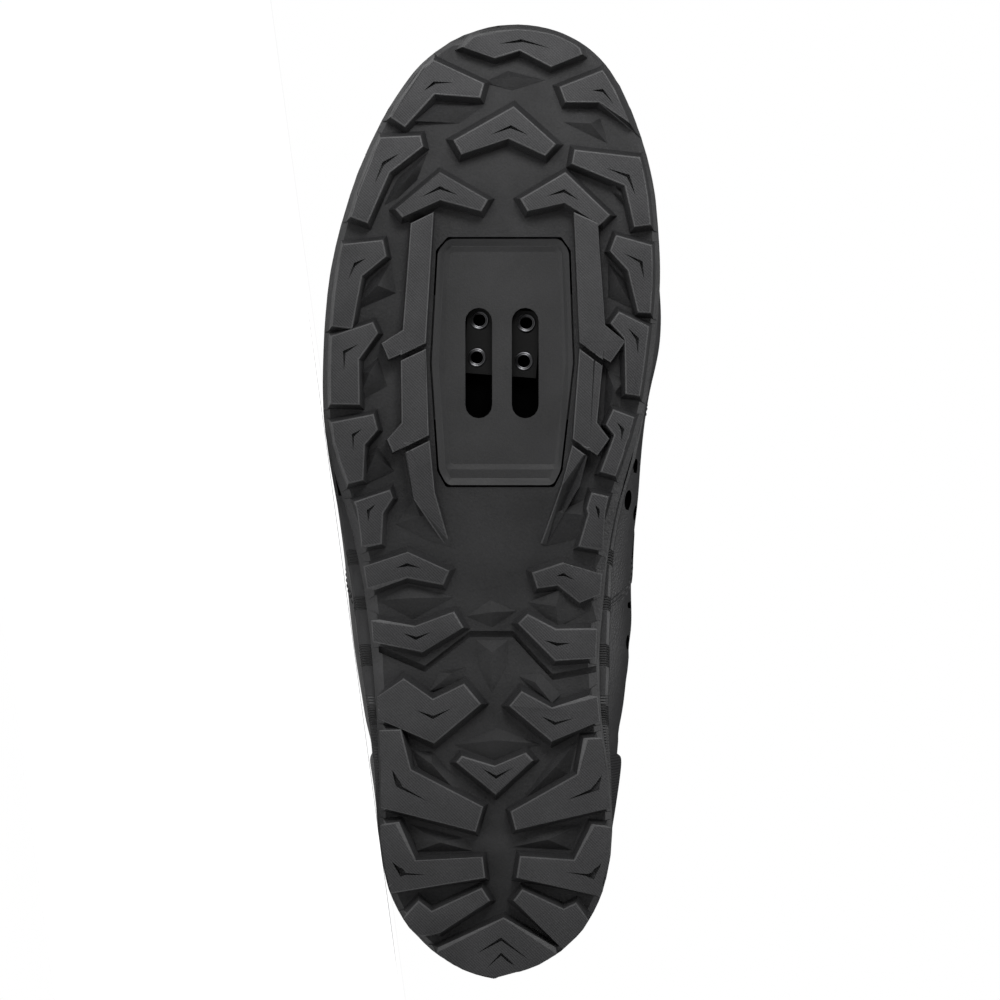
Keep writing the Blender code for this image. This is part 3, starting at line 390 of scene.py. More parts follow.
insole_cloth = cloth_finish("insole_cloth", (0.034, 0.034, 0.037), 0.0008)
thread = Finish("stitch_thread", (0.045, 0.045, 0.046), 0.7, specular_ior_level=0.2)
thread.relief(thread.noise(4000.0, 2.0), 0.00005)
thread = thread.material
nut_black = Finish("nut_black", (0.0012, 0.0012, 0.0012), 0.6, specular_ior_level=0.12).material
steel = Finish("nut_steel", (0.045, 0.045, 0.047), 0.30, metallic=1.0)
steel.relief(steel.noise(900.0, 3.0), 0.00002)
steel = steel.material


# Sole

# Tread floor under the plane of the lugs' faces, and along the shoe (millimetres)
FLOOR_AT = ((142, 19.4), (138, 17.4), (131, 15.0), (120, 11.8), (106, 8.6), (91, 6.3), (76, 5.0), (61, 4.6),
            (16, 4.6), (0, 5.6), (-15, 7.6), (-31, 9.0), (-48, 8.8), (-67, 7.4), (-85, 5.8), (-103, 5.0),
            (-118, 5.2), (-130, 6.0), (-142, 8.2))

# Thin chevron cuts in the lugs' faces: the corner, then its two tips (across, along)
SIPES = (
    (6.3, 137.6, -0.3, 136.1, 15.3, 134.9),
    (-19.8, 125.3, -22.8, 122.3, -13.8, 125.0),
    (30.6, 122.9, 27.3, 122.6, 33.6, 118.1),
    (3.3, 112.4, -3.0, 109.4, 8.4, 109.4),
    (-35.1, 101.3, -30.0, 104.0, -37.5, 94.7),
    (38.4, 97.4, 31.8, 99.5, 40.2, 91.1),
    (-18.0, 94.1, -23.7, 90.8, -12.6, 91.4),
    (19.2, 93.2, 14.1, 91.1, 23.7, 89.9),
    (-43.8, 71.1, -40.2, 72.5, -45.6, 66.0),
    (42.3, 71.6, 36.9, 74.0, 42.6, 66.3),
    (-47.1, 44.7, -42.3, 46.8, -46.8, 38.7),
    (40.8, 48.6, 37.8, 51.6, 40.5, 43.8),
    (-44.4, 19.8, -41.4, 21.3, -44.1, 14.4),
    (36.6, 21.3, 34.5, 23.4, 35.7, 17.7),
    (-39.9, -3.0, -37.2, -1.2, -39.3, -6.6),
    (29.4, -3.0, 28.2, -1.5, 28.8, -6.0),
    (-27.9, -18.9, -31.2, -20.4, -23.7, -20.4),
    (18.9, -21.9, 16.8, -22.8, 22.2, -24.0),
    (-25.2, -42.0, -29.1, -39.9, -20.7, -39.6),
    (16.8, -43.8, 13.2, -42.0, 20.7, -42.9),
    (-20.1, -65.7, -25.2, -63.0, -14.4, -62.4),
    (16.2, -67.5, 12.3, -64.8, 21.9, -65.4),
    (-1.2, -83.6, -5.7, -80.3, 3.9, -80.3),
    (-30.3, -86.0, -30.9, -80.9, -21.3, -90.5),
    (27.6, -86.9, 27.9, -82.4, 20.1, -89.9),
    (-29.1, -112.4, -30.6, -107.6, -21.9, -112.4),
    (26.7, -112.7, 28.2, -107.6, 19.5, -111.5),
    (0.3, -131.0, -6.9, -135.2, 8.4, -136.1),
    (0.3, -135.5, -3.6, -137.3, 4.2, -137.3),
)
# Dark groove across the waist (across, along)
STEP_GROOVE = ((-36.3, -44.7), (-22.5, -50.7), (-9.0, -40.2), (3.9, -40.2), (15.6, -53.1), (27.6, -50.7))
GROOVE_WIDTH = 1.9
SIPE_WIDTH = 1.0
SIPE_DEPTH = 1.5

# Low cut-gem facets on the tread's floor: the peak with its height, then the foot all round
GEMS = (
    ((-17.7, 116.3, 0.9), ((-25.5, 113.6), (-19.2, 119.0), (-4.2, 118.7), (-12.3, 113.0))),
    ((-27.0, 97.1, 1.0), ((-34.8, 88.4), (-30.6, 96.5), (-21.6, 104.3), (-24.9, 95.9), (-30.6, 90.5))),
    ((3.0, 126.8, 0.8), ((-4.8, 125.3), (2.4, 128.6), (13.5, 125.9), (3.6, 122.9))),
    ((27.0, 112.7, 0.9), ((19.2, 113.3), (23.4, 116.9), (30.0, 114.5), (32.1, 107.0))),
    ((36.0, 91.1, 0.9), ((30.9, 101.0), (38.4, 92.9), (39.3, 85.7), (33.6, 92.3))),
    ((-36.6, 64.2, 1.2), ((-45.0, 56.1), (-38.7, 66.0), (-32.7, 71.4), (-31.2, 62.1))),
    ((-39.0, 38.1, 1.2), ((-42.6, 29.4), (-41.4, 38.4), (-36.6, 42.6), (-33.9, 34.2))),
    ((-37.5, 13.5, 1.2), ((-41.4, 4.5), (-40.2, 13.5), (-36.9, 16.2), (-31.8, 8.7))),
    ((35.7, 64.8, 1.1), ((32.4, 71.4), (37.2, 66.0), (40.2, 57.0), (32.4, 60.9))),
    ((34.5, 32.4, 1.1), ((31.8, 39.6), (36.9, 35.4), (36.0, 27.0), (31.2, 24.6))),
    ((-24.0, -4.8, 0.8), ((-31.2, -7.2), (-25.8, 0.0), (-17.4, -3.6), (-13.5, -14.4), (-21.6, -12.0))),
    ((23.1, -4.2, 0.8), ((30.3, -6.6), (25.2, 0.0), (17.4, -3.6), (13.5, -13.8), (21.3, -12.0))),
    ((-26.7, -29.4, 0.9), ((-36.6, -30.0), (-27.0, -25.5), (-14.1, -29.1), (-26.1, -35.7))),
    ((16.8, -31.8, 0.9), ((8.4, -30.6), (18.0, -27.0), (25.8, -33.6), (17.4, -38.1))),
    ((-2.7, -33.6, 0.8), ((-9.9, -34.8), (-3.0, -30.0), (4.8, -33.3), (-2.4, -38.1))),
    ((-2.4, -45.6, 0.9), ((-7.2, -42.0), (2.4, -42.0), (2.1, -49.2), (-2.4, -57.6), (-6.3, -50.4))),
    ((-14.4, -51.9, 0.7), ((-21.0, -57.3), (-18.0, -51.6), (-10.2, -50.1), (-11.1, -54.3))),
    ((10.5, -54.6, 0.7), ((5.7, -52.8), (12.0, -51.9), (18.3, -58.2), (15.6, -60.9))),
    ((-1.2, -71.9, 0.9), ((-13.5, -73.4), (-0.9, -68.4), (12.0, -73.1), (-1.8, -77.9))),
    ((-20.4, -79.1, 1.1), ((-26.4, -74.9), (-20.4, -75.5), (-13.5, -82.7), (-8.7, -92.3), (-23.7, -82.1))),
    ((16.8, -79.7, 1.1), ((23.1, -72.2), (16.8, -76.1), (11.1, -83.9), (3.9, -93.2), (20.7, -82.4))),
    ((-18.0, -102.5, 0.9),
     ((-24.9, -105.2), (-27.0, -97.1), (-18.0, -99.5), (-10.8, -101.3), (-8.1, -105.2))),
    ((14.4, -101.6, 0.9), ((3.6, -104.0), (9.6, -98.3), (24.6, -97.1), (21.6, -104.9))),
)
GEM_RISE = 2.7                   # what the heights of the peaks are multiplied by
CORE = (-92.0, 88.0)             # both ends of the line that the outline runs round (along)
CORE_RADIUS = 42.0               # the radius of its two turns, for the way round the rim
CORNERS_PER_EDGE = 3             # new corners on a long edge of the rim
HUB = 20                         # nothing nearer than this to the middle is part of the outline
# How much the outline is let out, from the arch side of the heel round by the toe: way, millimetres
LET_OUT = ((0, 0.5), (22, 0.7), (40, 1.2), (60, 0.6), (74, 0.3), (92, 0.6), (122, 1.2), (148, 1.2),
           (170, 0.6), (205, 0.6), (246, 1.0), (275, 0.3), (295, 0.0), (535, 0.0), (545, 0.8), (558, 2.2),
           (575, 2.6), (590, 2.4), (604, 1.3), (618, 0.8))
FACE_SLOT, FLOOR_SLOT, WALL_SLOT, HIGHLIGHT_SLOT, LIT_RIM_SLOT = range(5)   # the material slots of the tread
# The corners of the window for the cleat, and their rounding
WINDOW_CORNERS = ((-18.8, 76.4), (-16.2, 79.1), (18.5, 79.1), (21.4, 76.1),
                  (-17.9, 6.4), (-15.2, 4.3), (17.0, 4.3), (19.1, 6.4))
WINDOW_RADIUS = 1.3
# The threaded holes, as seen from below
NUT_HOLES = ((-6.15, 53.9), (-6.9, 42.7), (7.9, 53.1), (7.2, 41.6))
# The rails beside the window: inner and outer side of each, and where their fronts end
RAILS = ((-19.8, -26.4), (22.1, 29.5))
RAIL_FRONT = 85.0
RAIL_SLANT = 3.6                 # how much further forward their fronts are at the cleat
# Their gaps, from the window outwards: across and along of both ends
RAIL_GAPS = ((-20.9, 46.6, -30.4, 42.1), (-20.3, 19.0, -30.4, 14.0),
             (23.0, 46.8, 30.8, 40.8), (21.0, 17.8, 28.4, 12.2))
RAIL_GAP_WIDTH = 1.5
LUG_RISE = 1.8                   # what stands this far above the tread's floor is a lug
FACE_LEAN = 0.80                 # a face that looks down less squarely than this is a wall
ROUNDED_WIDTH = 0.00036           # metres: the rounding of the lugs' edges
ROUNDED_RISE = 1.6                # edges that stand this far above the floor are rounded, and the rounding takes a painted highlight


def chart(point):
    """Across, along and depth of a point, in millimetres."""
    away = point - MIDDLE
    return away.dot(ARCH) / MM, away.dot(TOE) / MM, -away.dot(DOWN) / MM


def floor_at(along):
    """Depth of the tread's floor, in millimetres."""
    for (front, deep), (rear, deep_rear) in zip(FLOOR_AT, FLOOR_AT[1:]):
        if along >= rear:
            share = min(1.0, (front - along) / (front - rear))
            return deep + (deep_rear - deep) * share
    return FLOOR_AT[-1][1]


def landed(piece, across, along):
    """Where the line of sight through a point of the chart meets the piece, or None."""
    way = (on_sole(across, along) - EYE).normalized()
    hit, place, _, _ = piece.ray_cast(EYE, way)
    return place if hit else None


def on_floor(across, along):
    """A point of the tread's floor, seen at this place of the chart."""
    deep = floor_at(along)
    grow = 1 + deep * MM / VIEW_DISTANCE
    return on_sole(across * grow, along * grow, deep)


def floor_spot(piece, across, along):
    """The tread's floor at this place of the chart, or the floor under a lug that covers it."""
    place = landed(piece, across, along)
    if place and floor_at(along) - LUG_RISE < chart(place)[2] < floor_at(along) + 4:
        return place
    return on_floor(across, along)


def drawn(name, points, filled):
    """A new piece of these corners: a circle primitive whose corners are moved to them."""
    bpy.ops.object.select_all(action="DESELECT")
    bpy.ops.mesh.primitive_circle_add(vertices=len(points), fill_type="NGON" if filled else "NOTHING",
                                      location=(0, 0, 0))
    piece = bpy.context.active_object
    piece.name = piece.data.name = name
    for corner, point in zip(piece.data.vertices, points):
        corner.co = point
    return piece


def join(*pieces):
    pick(*pieces)
    bpy.ops.object.join()
    return pieces[0]


def prism(points, low, high):
    """Straight cutter: a plan of points, extruded between two shifts into the tread."""
    piece = drawn("cutter", [p - DOWN * low for p in points], True)
    edit(piece)
    bpy.ops.mesh.select_all(action="SELECT")
    bpy.ops.mesh.extrude_region_move(TRANSFORM_OT_translate={"value": -DOWN * (high - low)})
    bpy.ops.mesh.select_all(action="SELECT")
    bpy.ops.mesh.normals_make_consistent(inside=False)
    leave()
    return piece


def cut(piece, cutters):
    """Cuts the joined cutters out of the piece."""
    tool = join(*cutters) if len(cutters) > 1 else cutters[0]
    modify(piece, "BOOLEAN", operation="DIFFERENCE", solver="EXACT", object=tool)
    bpy.data.objects.remove(tool)


def round_place(across, along):
    """Where a point lies round the sole: its way along the rim, its reach, and its outward direction."""
    straight = min(max(along, CORE[0]), CORE[1])
    away = (across, along - straight)
    reach = math.hypot(*away)
    turn = CORE_RADIUS * math.atan2(abs(away[1]), abs(away[0]))
    side = CORE[1] - CORE[0] + CORE_RADIUS * math.pi
    way = straight - CORE[0] + (turn if along > 0 else -turn)
    out = ARCH * (away[0] / reach) + TOE * (away[1] / reach)
    return (way if across > 0 else side - way + CORE[1] - CORE[0]), reach, out


def outline_reach(piece):
    """How far the piece reaches out, for each millimetre round its rim."""
    count = int(2 * (CORE[1] - CORE[0]) + 2 * math.pi * CORE_RADIUS)
    reach = [0.0] * count
    for edge in piece.data.edges:
        ends = [Vector(chart(piece.data.vertices[i].co)) for i in edge.vertices]
        for part in range(13):
            spot = ends[0].lerp(ends[1], part / 12)
            if math.hypot(spot.x, spot.y) > HUB:
                way, far, _ = round_place(spot.x, spot.y)
                reach[int(way) % count] = max(reach[int(way) % count], far)
    for k in range(count):
        if reach[k] == 0:
            reach[k] = reach[k - 1]
    return reach


def ease_outline(piece, blur=6.0, band=9.0):
    """Eases the flats of the moulded outline into one curve: new corners on its long edges, then a shift."""
    reach = outline_reach(piece)
    count = len(reach)
    wide = int(3 * blur)
    weights = [math.exp(-0.5 * (i / blur) ** 2) for i in range(-wide, wide + 1)]
    eased = [sum(w * reach[(k + i - wide) % count] for i, w in enumerate(weights)) / sum(weights)
             for k in range(count)]
    lift = [eased[k] - reach[k] for k in range(count)]
    mesh = edit(piece, "EDGE")
    long_edges = []
    for edge in mesh.edges:
        middle = (edge.verts[0].co + edge.verts[1].co) / 2
        spots = [round_place(*chart(place)[:2]) for place in (edge.verts[0].co, edge.verts[1].co, middle)]
        near = all(far > reach[int(way) % count] - band for way, far, _ in spots)
        gap = abs(spots[0][0] - spots[1][0])
        if near and 3.0 < min(gap, count - gap):
            long_edges.append(edge)
    for edge in long_edges:
        last = edge.verts[1]
        start, finish = edge.verts[0].co.copy(), last.co.copy()
        for part in range(1, CORNERS_PER_EDGE + 1):
            _, corner = bmesh.utils.edge_split(edge, edge.verts[0], 0.5)
            corner.co = start.lerp(finish, part / (CORNERS_PER_EDGE + 1))
            edge = next(link for link in corner.link_edges if last in link.verts)
    for vert in mesh.verts:
        across, along, _ = chart(vert.co)
        way, far, out = round_place(across, along)
        share = 1 - min(1.0, max(0.0, (reach[int(way) % count] - far) / band))
        vert.co += out * (share * lift[int(way) % count] * MM)
    put_back(piece)


def trim_at(way):
    """How far the outline is let out at this way round the rim, in millimetres."""
    whole = 2 * (CORE[1] - CORE[0]) + 2 * math.pi * CORE_RADIUS
    rows = LET_OUT + ((LET_OUT[0][0] + whole, LET_OUT[0][1]),)
    for (start, first), (finish, second) in zip(rows, rows[1:]):
        if start <= way <= finish:
            return first + (second - first) * (way - start) / (finish - start)
    return rows[0][1]


def let_out(piece, fade=16.0):
    """Lets the outline out where the shoe is fuller than the moulded blank, less and less further in."""
    reach = outline_reach(piece)
    mesh = edit(piece)
    for vert in mesh.verts:
        across, along, _ = chart(vert.co)
        if math.hypot(across, along) < HUB:
            continue
        way, far, out = round_place(across, along)
        share = min(1.0, max(0.0, 1 - (reach[int(way) % len(reach)] - far) / fade))
        vert.co += out * (share * trim_at(way) * MM)
    put_back(piece)


def widen_heel_lugs(piece, start=-2, run=16, least=0.8, most=6.5, fade=3.0):
    """Draws the outer ends of the rear lugs out to the rim, so that they run down its side.

    It grows from the start backwards, and moves what lies between least and most inside the outline."""
    reach = outline_reach(piece)
    mesh = edit(piece)
    for vert in mesh.verts:
        across, along, depth = chart(vert.co)
        on_top = any(face.normal.dot(DOWN) > FACE_LEAN for face in vert.link_faces)
        if along > start or depth > floor_at(along) - LUG_RISE or not on_top:
            continue
        way, far, out = round_place(across, along)
        inset = reach[int(way) % len(reach)] - far
        if least < inset < most:
            share = min(1.0, (most - inset) / fade) * min(1.0, (start - along) / run)
            vert.co += out * ((inset - least) * share * MM)
    put_back(piece)


def round_corners(piece, corners, radius, reach=3.5):
    """Rounds the upright edges that stand near these corners of the chart."""
    mesh = edit(piece, "EDGE")
    for edge in mesh.edges:
        way = (edge.verts[1].co - edge.verts[0].co).normalized()
        if abs(way.dot(DOWN)) > 0.9 and len(edge.link_faces) == 2 and edge.calc_face_angle(0) > 0.2:
            across, along, _ = chart((edge.verts[0].co + edge.verts[1].co) / 2)
            edge.select_set(any(math.hypot(across - x, along - y) < reach for x, y in corners))
    mesh.select_flush_mode()
    bpy.ops.mesh.bevel(offset=radius * MM, segments=4, profile=0.5, affect="EDGES", clamp_overlap=True)
    leave()


def bevel_lugs(piece):
    """Rounds the rims of the lugs' faces, where a wall drops away from them, and gives the rounding a painted
    highlight.
    """
    mesh = edit(piece, "EDGE")
    for edge in mesh.edges:
        if len(edge.link_faces) != 2 or not edge.is_convex or edge.calc_length() < 0.0007:
            continue
        lean = sorted(face.normal.dot(DOWN) for face in edge.link_faces)
        if lean[1] > FACE_LEAN and lean[0] < 0.75:
            _, along, depth = chart((edge.verts[0].co + edge.verts[1].co) / 2)
            edge.select_set(depth < floor_at(along) - ROUNDED_RISE)
    mesh.select_flush_mode()
    bpy.ops.mesh.bevel(offset=ROUNDED_WIDTH, offset_type="OFFSET", segments=2, profile=0.5,
                       affect="EDGES", clamp_overlap=False, material=HIGHLIGHT_SLOT)
    leave()


def sipe_cutters(piece):
    cutters = []
    for row in SIPES:
        corner, tip_a, tip_b = ((row[i], row[i + 1]) for i in (0, 2, 4))
        place = landed(piece, *corner)
        if place is None:
            continue
        depth = chart(place)[2]
        grow = 1 + depth * MM / VIEW_DISTANCE
        inward = Vector(((tip_a[0] + tip_b[0]) / 2 - corner[0], (tip_a[1] + tip_b[1]) / 2 - corner[1]))
        inward = inward.normalized() * SIPE_WIDTH
        plan = (corner, tip_a, (corner[0] + inward.x, corner[1] + inward.y), tip_b)
        points = [on_sole(x * grow, y * grow, depth) for x, y in plan]
        cutters.append(prism(points, low=-3 * MM, high=SIPE_DEPTH * MM))
    return cutters


def step_cutter():
    """The dark groove of the step across the waist, as one zigzag slot."""
    line = [on_floor(*spot) for spot in STEP_GROOVE]
    front = [p + TOE * (0.5 * GROOVE_WIDTH * MM) for p in line]
    rear = [p - TOE * (0.5 * GROOVE_WIDTH * MM) for p in line]
    return prism(front + rear[::-1], low=-1.6 * MM, high=1.5 * MM)


def rail_cutters():
    """The slanted gaps that part each rail into three."""
    cutters = []
    for near_across, near_along, far_across, far_along in RAIL_GAPS:
        near, far = on_floor(near_across, near_along), on_floor(far_across, far_along)
        aside = (far - near).cross(DOWN).normalized() * (0.5 * RAIL_GAP_WIDTH * MM)
        plan = [near - aside, near + aside, far + aside, far - aside]
        cutters.append(prism(plan, low=-7.0 * MM, high=-0.3 * MM))
    return cutters


def add_gems(piece):
    """Sets the low facets on the floor, as hulls over their foot and peak."""
    gems = []
    for (x, y, height), foot in GEMS:
        corners = [floor_spot(piece, *corner) for corner in foot]
        points = [p - DOWN * (0.6 * MM) for p in corners] + [p + DOWN * (0.1 * MM) for p in corners]
        points.append(floor_spot(piece, x, y) + DOWN * (height * GEM_RISE * MM))
        gem = drawn("gem", points, False)
        edit(gem)
        bpy.ops.mesh.select_all(action="SELECT")
        bpy.ops.mesh.convex_hull()
        leave()
        gems.append(gem)
    return join(piece, *gems)


def slant_rails(piece):
    """Slants the front ends of the two rails: forward at the cleat, back at the outside."""
    mesh = edit(piece)
    for vert in mesh.verts:
        across, along, depth = chart(vert.co)
        for near, far in RAILS:
            share = (across - near) / (far - near)
            if abs(along - RAIL_FRONT) < 1.6 and -0.12 < share < 1.12 and depth < floor_at(along) - LUG_RISE:
                vert.co += TOE * ((0.5 - share) * RAIL_SLANT * MM)
    put_back(piece)


def finish_tread(piece):
    """Lug faces take the hatched rubber, painted lighter as lit; the rim the smooth one, painted lighter as
    lit; walls and floor the grained ones, the walls painted darker as shade.
    """
    reach = outline_reach(piece)

    def rim(way):
        return reach[int(way) % len(reach)]

    for face in piece.data.polygons:
        if face.material_index == HIGHLIGHT_SLOT:
            continue
        across, along, depth = chart(face.center)
        lean = face.normal.dot(DOWN)
        raised = depth < floor_at(along) - LUG_RISE
        way, far, out = round_place(across, along)
        outward = face.normal.dot(out)
        # Outward faces at the rim take the rubber painted lighter as lit.
        if outward > 0.35 and far > rim(way) - 3.0:
            face.material_index = LIT_RIM_SLOT
        elif lean < FACE_LEAN:
            face.material_index = WALL_SLOT
        else:
            face.material_index = FACE_SLOT if raised else FLOOR_SLOT


def add_collars(piece):
    """A raised, rounded collar round each threaded hole."""
    collars = []
    turn = DOWN.to_track_quat("Z", "Y").to_matrix().to_4x4()
    for across, along in NUT_HOLES:
        face = landed(piece, across + 2.3, along) or landed(piece, across - 2.3, along)
        depth = chart(face)[2]
        grow = 1 + depth * MM / VIEW_DISTANCE
        for radius, thick in ((2.5, 0.32), (2.05, 0.22)):
            bpy.ops.object.select_all(action="DESELECT")
            bpy.ops.mesh.primitive_torus_add(major_radius=radius * MM, minor_radius=thick * MM,
                                             major_segments=28, minor_segments=8, location=(0, 0, 0))
            collar = bpy.context.active_object
            collar.data.transform(Matrix.Translation(on_sole(across * grow, along * grow, depth)) @ turn)
            collar.data.materials.append(steel)
            collars.append(collar)
    return join(piece, *collars)


tread = copy_of("outsole", "tread")
for finish in (rubber_top_lit, rubber_floor, rubber_wall_shaded, rubber_edge_highlight, rubber_rim_painted_light):
    tread.data.materials.append(finish)
round_corners(tread, WINDOW_CORNERS, WINDOW_RADIUS)
cut(tread, rail_cutters())
bevel_lugs(tread)
cut(tread, sipe_cutters(tread))
cut(tread, [step_cutter()])
ease_outline(tread)
let_out(tread)
widen_heel_lugs(tread)
slant_rails(tread)
add_gems(tread)
finish_tread(tread)
stands_for(tread, "outsole", "outsole")
smooth(tread, 24)

shell = copy_of("midsole", "shell")
ease_outline(shell)
let_out(shell)
stands_for(shell, "midsole", "midsole", shell_plastic, painted_shade_black)
# The pocket behind the slots is painted black as shade
for face in shell.data.polygons:
    across, along, depth = chart(face.center)
    if abs(across) < 19 and 2 < along < 84 and depth < 20:
        face.material_index = 1
smooth(shell, 28)

plate = copy_of("cleat_plate", "plate")
round_corners(plate, WINDOW_CORNERS, WINDOW_RADIUS)
stands_for(plate, "cleat_plate", "cleat_plate", plate_plastic)
smooth(plate, 25)

nut = copy_of("cleat_nut", "nut")
nut.data.materials.append(nut_black)
add_collars(nut)
stands_for(nut, "cleat_nut", "cleat_nut")
smooth(nut, 30)


# Upper and what is on it

# Soft troughs across the vamp and at the sides of the instep: two ends (across, along), width and depth
CREASES = (
    (-32.0, 63.0, 30.0, 70.0, 4.0, 0.9),
    (-30.0, 55.0, -6.0, 60.0, 3.5, 0.6),
    (34.0, 60.0, 12.0, 64.0, 3.5, 0.6),
    (-36.0, -52.0, -22.0, -40.0, 6.0, 1.0),
    (38.0, -50.0, 26.0, -38.0, 6.0, 1.0),
    (-34.0, -78.0, -24.0, -66.0, 6.0, 0.8),
    (34.0, -76.0, 26.0, -64.0, 6.0, 0.8),
)
# Slots pressed through the upper's side, as seen from below: place, length and width
VENTS = ((40.6, 10.5, 4.0, 1.3), (38.4, 0.0, 6.6, 1.8), (40.5, -3.9, 4.8, 1.2), (38.7, -31.5, 2.0, 1.2),
         (38.3, -42.6, 4.6, 1.2))
VENT_HEIGHT = 5.0                # of the cutter, up the upper's side
STITCH = 2.7                     # from one stitch to the next
LOOKS = 150                      # places looked at round the foot for a row of stitches


def foot_core(along):
    """A point inside the foot, above the sole at this place along it."""
    return on_sole(3, along, 32)


def skin_spot(piece, along, angle, side):
    """Where a line towards the middle of the foot meets the outer skin, and the skin's direction there."""
    way = ARCH * (side * math.cos(angle)) - DOWN * math.sin(angle)
    hit, place, normal, _ = piece.ray_cast(foot_core(along) + way * 0.2, -way)
    return (place, normal) if hit else None


def crease(piece):
    """Presses the listed creases into the outer skin."""
    mesh = edit(piece)
    for vert in mesh.verts:
        across, along, depth = chart(vert.co)
        if depth < 38 or vert.normal.dot(vert.co - foot_core(along)) < 0:
            continue
        spot = Vector((across, along))
        for ax, ay, bx, by, width, press in CREASES:
            start, run = Vector((ax, ay)), Vector((bx - ax, by - ay))
            share = min(1.0, max(0.0, (spot - start).dot(run) / run.length_squared))
            off = (spot - start - run * share).length
            ends = 1 - abs(2 * share - 1) ** 3
            wave = math.exp(-(off / width) ** 2) - 0.45 * math.exp(-((off - 1.6 * width) / width) ** 2)
            vert.co -= vert.normal * (press * wave * ends * MM)
    put_back(piece)


def cut_vents(piece, painted_shade_slot):
    """Slots in the side of the upper, their inner faces painted black as shade."""
    cutters, middles = [], []
    for across, along, length, width in VENTS:
        place = landed(piece, across, along)
        if place is None:
            continue
        bpy.ops.object.select_all(action="DESELECT")
        bpy.ops.mesh.primitive_uv_sphere_add(segments=20, ring_count=12, radius=0.5 * MM, location=(0, 0, 0))
        cutter = bpy.context.active_object
        turn = Matrix((ARCH, TOE, DOWN)).transposed().to_4x4()
        cutter.data.transform(Matrix.Translation(place) @ turn
                              @ Matrix.Diagonal((width * 1.5, length, VENT_HEIGHT, 1)))
        cutters.append(cutter)
        middles.append((place, length, width * 0.75))
    if cutters:
        cut(piece, cutters)
    for face in piece.data.polygons:
        for place, length, half_width in middles:
            away = face.center - place
            flat = Vector((away.dot(DOWN) / (VENT_HEIGHT / 2), away.dot(TOE) / (length / 2),
                           away.dot(ARCH) / half_width)) / MM
            if 0.90 < flat.length < 1.03 and face.normal.dot(away) < 0:
                face.material_index = painted_shade_slot


def sew(name, rows):
    """Stitches along rows of places, each a small pad that lies on the cloth."""
    bpy.ops.object.select_all(action="DESELECT")
    bpy.ops.mesh.primitive_ico_sphere_add(subdivisions=1, radius=0.5 * MM, location=(0, 0, 0))
    model = bpy.context.active_object
    pads = []
    for row in rows:
        for (start, normal), (finish, _) in zip(row, row[1:]):
            run = finish - start
            if not 0.3 * MM < run.length < 3 * STITCH * MM:
                continue
            side = normal.cross(run).normalized()
            turn = Matrix((run.normalized(), side, normal)).transposed().to_4x4()
            pad = model.copy()
            pad.data = model.data.copy()
            pad.data.transform(Matrix.Translation((start + finish) / 2 + normal * (0.05 * MM)) @ turn
                               @ Matrix.Diagonal((run.length / MM * 0.74, 0.55, 0.5, 1)))
            bpy.context.scene.collection.objects.link(pad)
            pads.append(pad)
    bpy.data.objects.remove(model)
    pads[0].name = pads[0].data.name = name
    piece = join(*pads)
    piece.data.materials.append(thread)
    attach(piece, "root")
    return piece


def spaced(spots):
    """Places along a run of skin spots, one stitch apart."""
    kept = []
    for spot in spots:
        if spot and (not kept or (spot[0] - kept[-1][0]).length >= STITCH * MM):
            kept.append(spot)
    return kept


def seam_rows(piece):
    """Two stitch rows behind each seam of the upper, up both sides."""
    rows = []
    for slope, start in SEAMS:
        for side in (-1, 1):
            for behind in (1.5, 3.3):
                spots = []
                for k in range(LOOKS):
                    angle = math.radians(-6 + k * 0.55)
                    along = start + slope * 40 - behind
                    for _ in range(4):
                        spot = skin_spot(piece, along, angle, side)
                        if spot:
                            along = start + slope * chart(spot[0])[2] - behind
                    spots.append(spot)
                rows.append(spaced(spots))
    return rows


def quilt(piece, pitch, rise):
    """Puffs the padded piece up between its sewn channels."""
    mesh = edit(piece)
    for vert in mesh.verts:
        _, along, depth = chart(vert.co)
        channel = abs(math.sin(math.pi * (along + depth * 0.3) / pitch))
        vert.co += vert.normal * (rise * (channel ** 0.6 - 0.6) * MM)
    put_back(piece)


def thin_end(piece, reach=22.0, drop=1.15):
    """Lets the strap's inner end run out flat on the upper, where it is sewn under the seam."""
    mesh = edit(piece)
    inner = [vert for vert in mesh.verts if chart(vert.co)[0] > 20]
    low = min(chart(vert.co)[2] for vert in inner)
    for vert in inner:
        depth = chart(vert.co)[2]
        share = max(0.0, 1 - (depth - low) / reach)
        if vert.normal.dot(ARCH) > 0.25:
            vert.co -= ARCH * (drop * share * MM)
    put_back(piece)


upper = quad_copy("upper", "upper_skin", 2)
let_out(upper)
crease(upper)
stands_for(upper, "upper", "upper", upper_leather, lining_cloth, painted_shade_black)
# What faces the foot takes the lining
for face in upper.data.polygons:
    along = chart(face.center)[1]
    if face.normal.dot(face.center - on_sole(0, min(100, max(-100, along)), 40)) < 0:
        face.material_index = 1
# The vents' inner faces take the painted shade in slot 2.
cut_vents(upper, 2)
smooth(upper, 50)
stitches = sew("upper_stitches", seam_rows(upper))

toe_cap = quad_copy("toe_cap", "toe_cap_skin", 2)
let_out(toe_cap, 30.0)
stands_for(toe_cap, "toe_cap", "toe_cap", toe_rubber)
smooth(toe_cap, 50)

counter = quad_copy("heel_counter", "heel_counter_skin", 2)
let_out(counter, 30.0)
stands_for(counter, "heel_counter", "heel_counter", counter_plastic)
smooth(counter, 50)

foot_bed = quad_copy("insole", "insole_skin", 1)
stands_for(foot_bed, "insole", "insole", insole_cloth)
smooth(foot_bed, 50)

tongue = quad_copy("tongue", "tongue_skin", 2)
quilt(tongue, 9.0, 0.9)
stands_for(tongue, "tongue", "tongue", tongue_mesh)
smooth(tongue, 60)

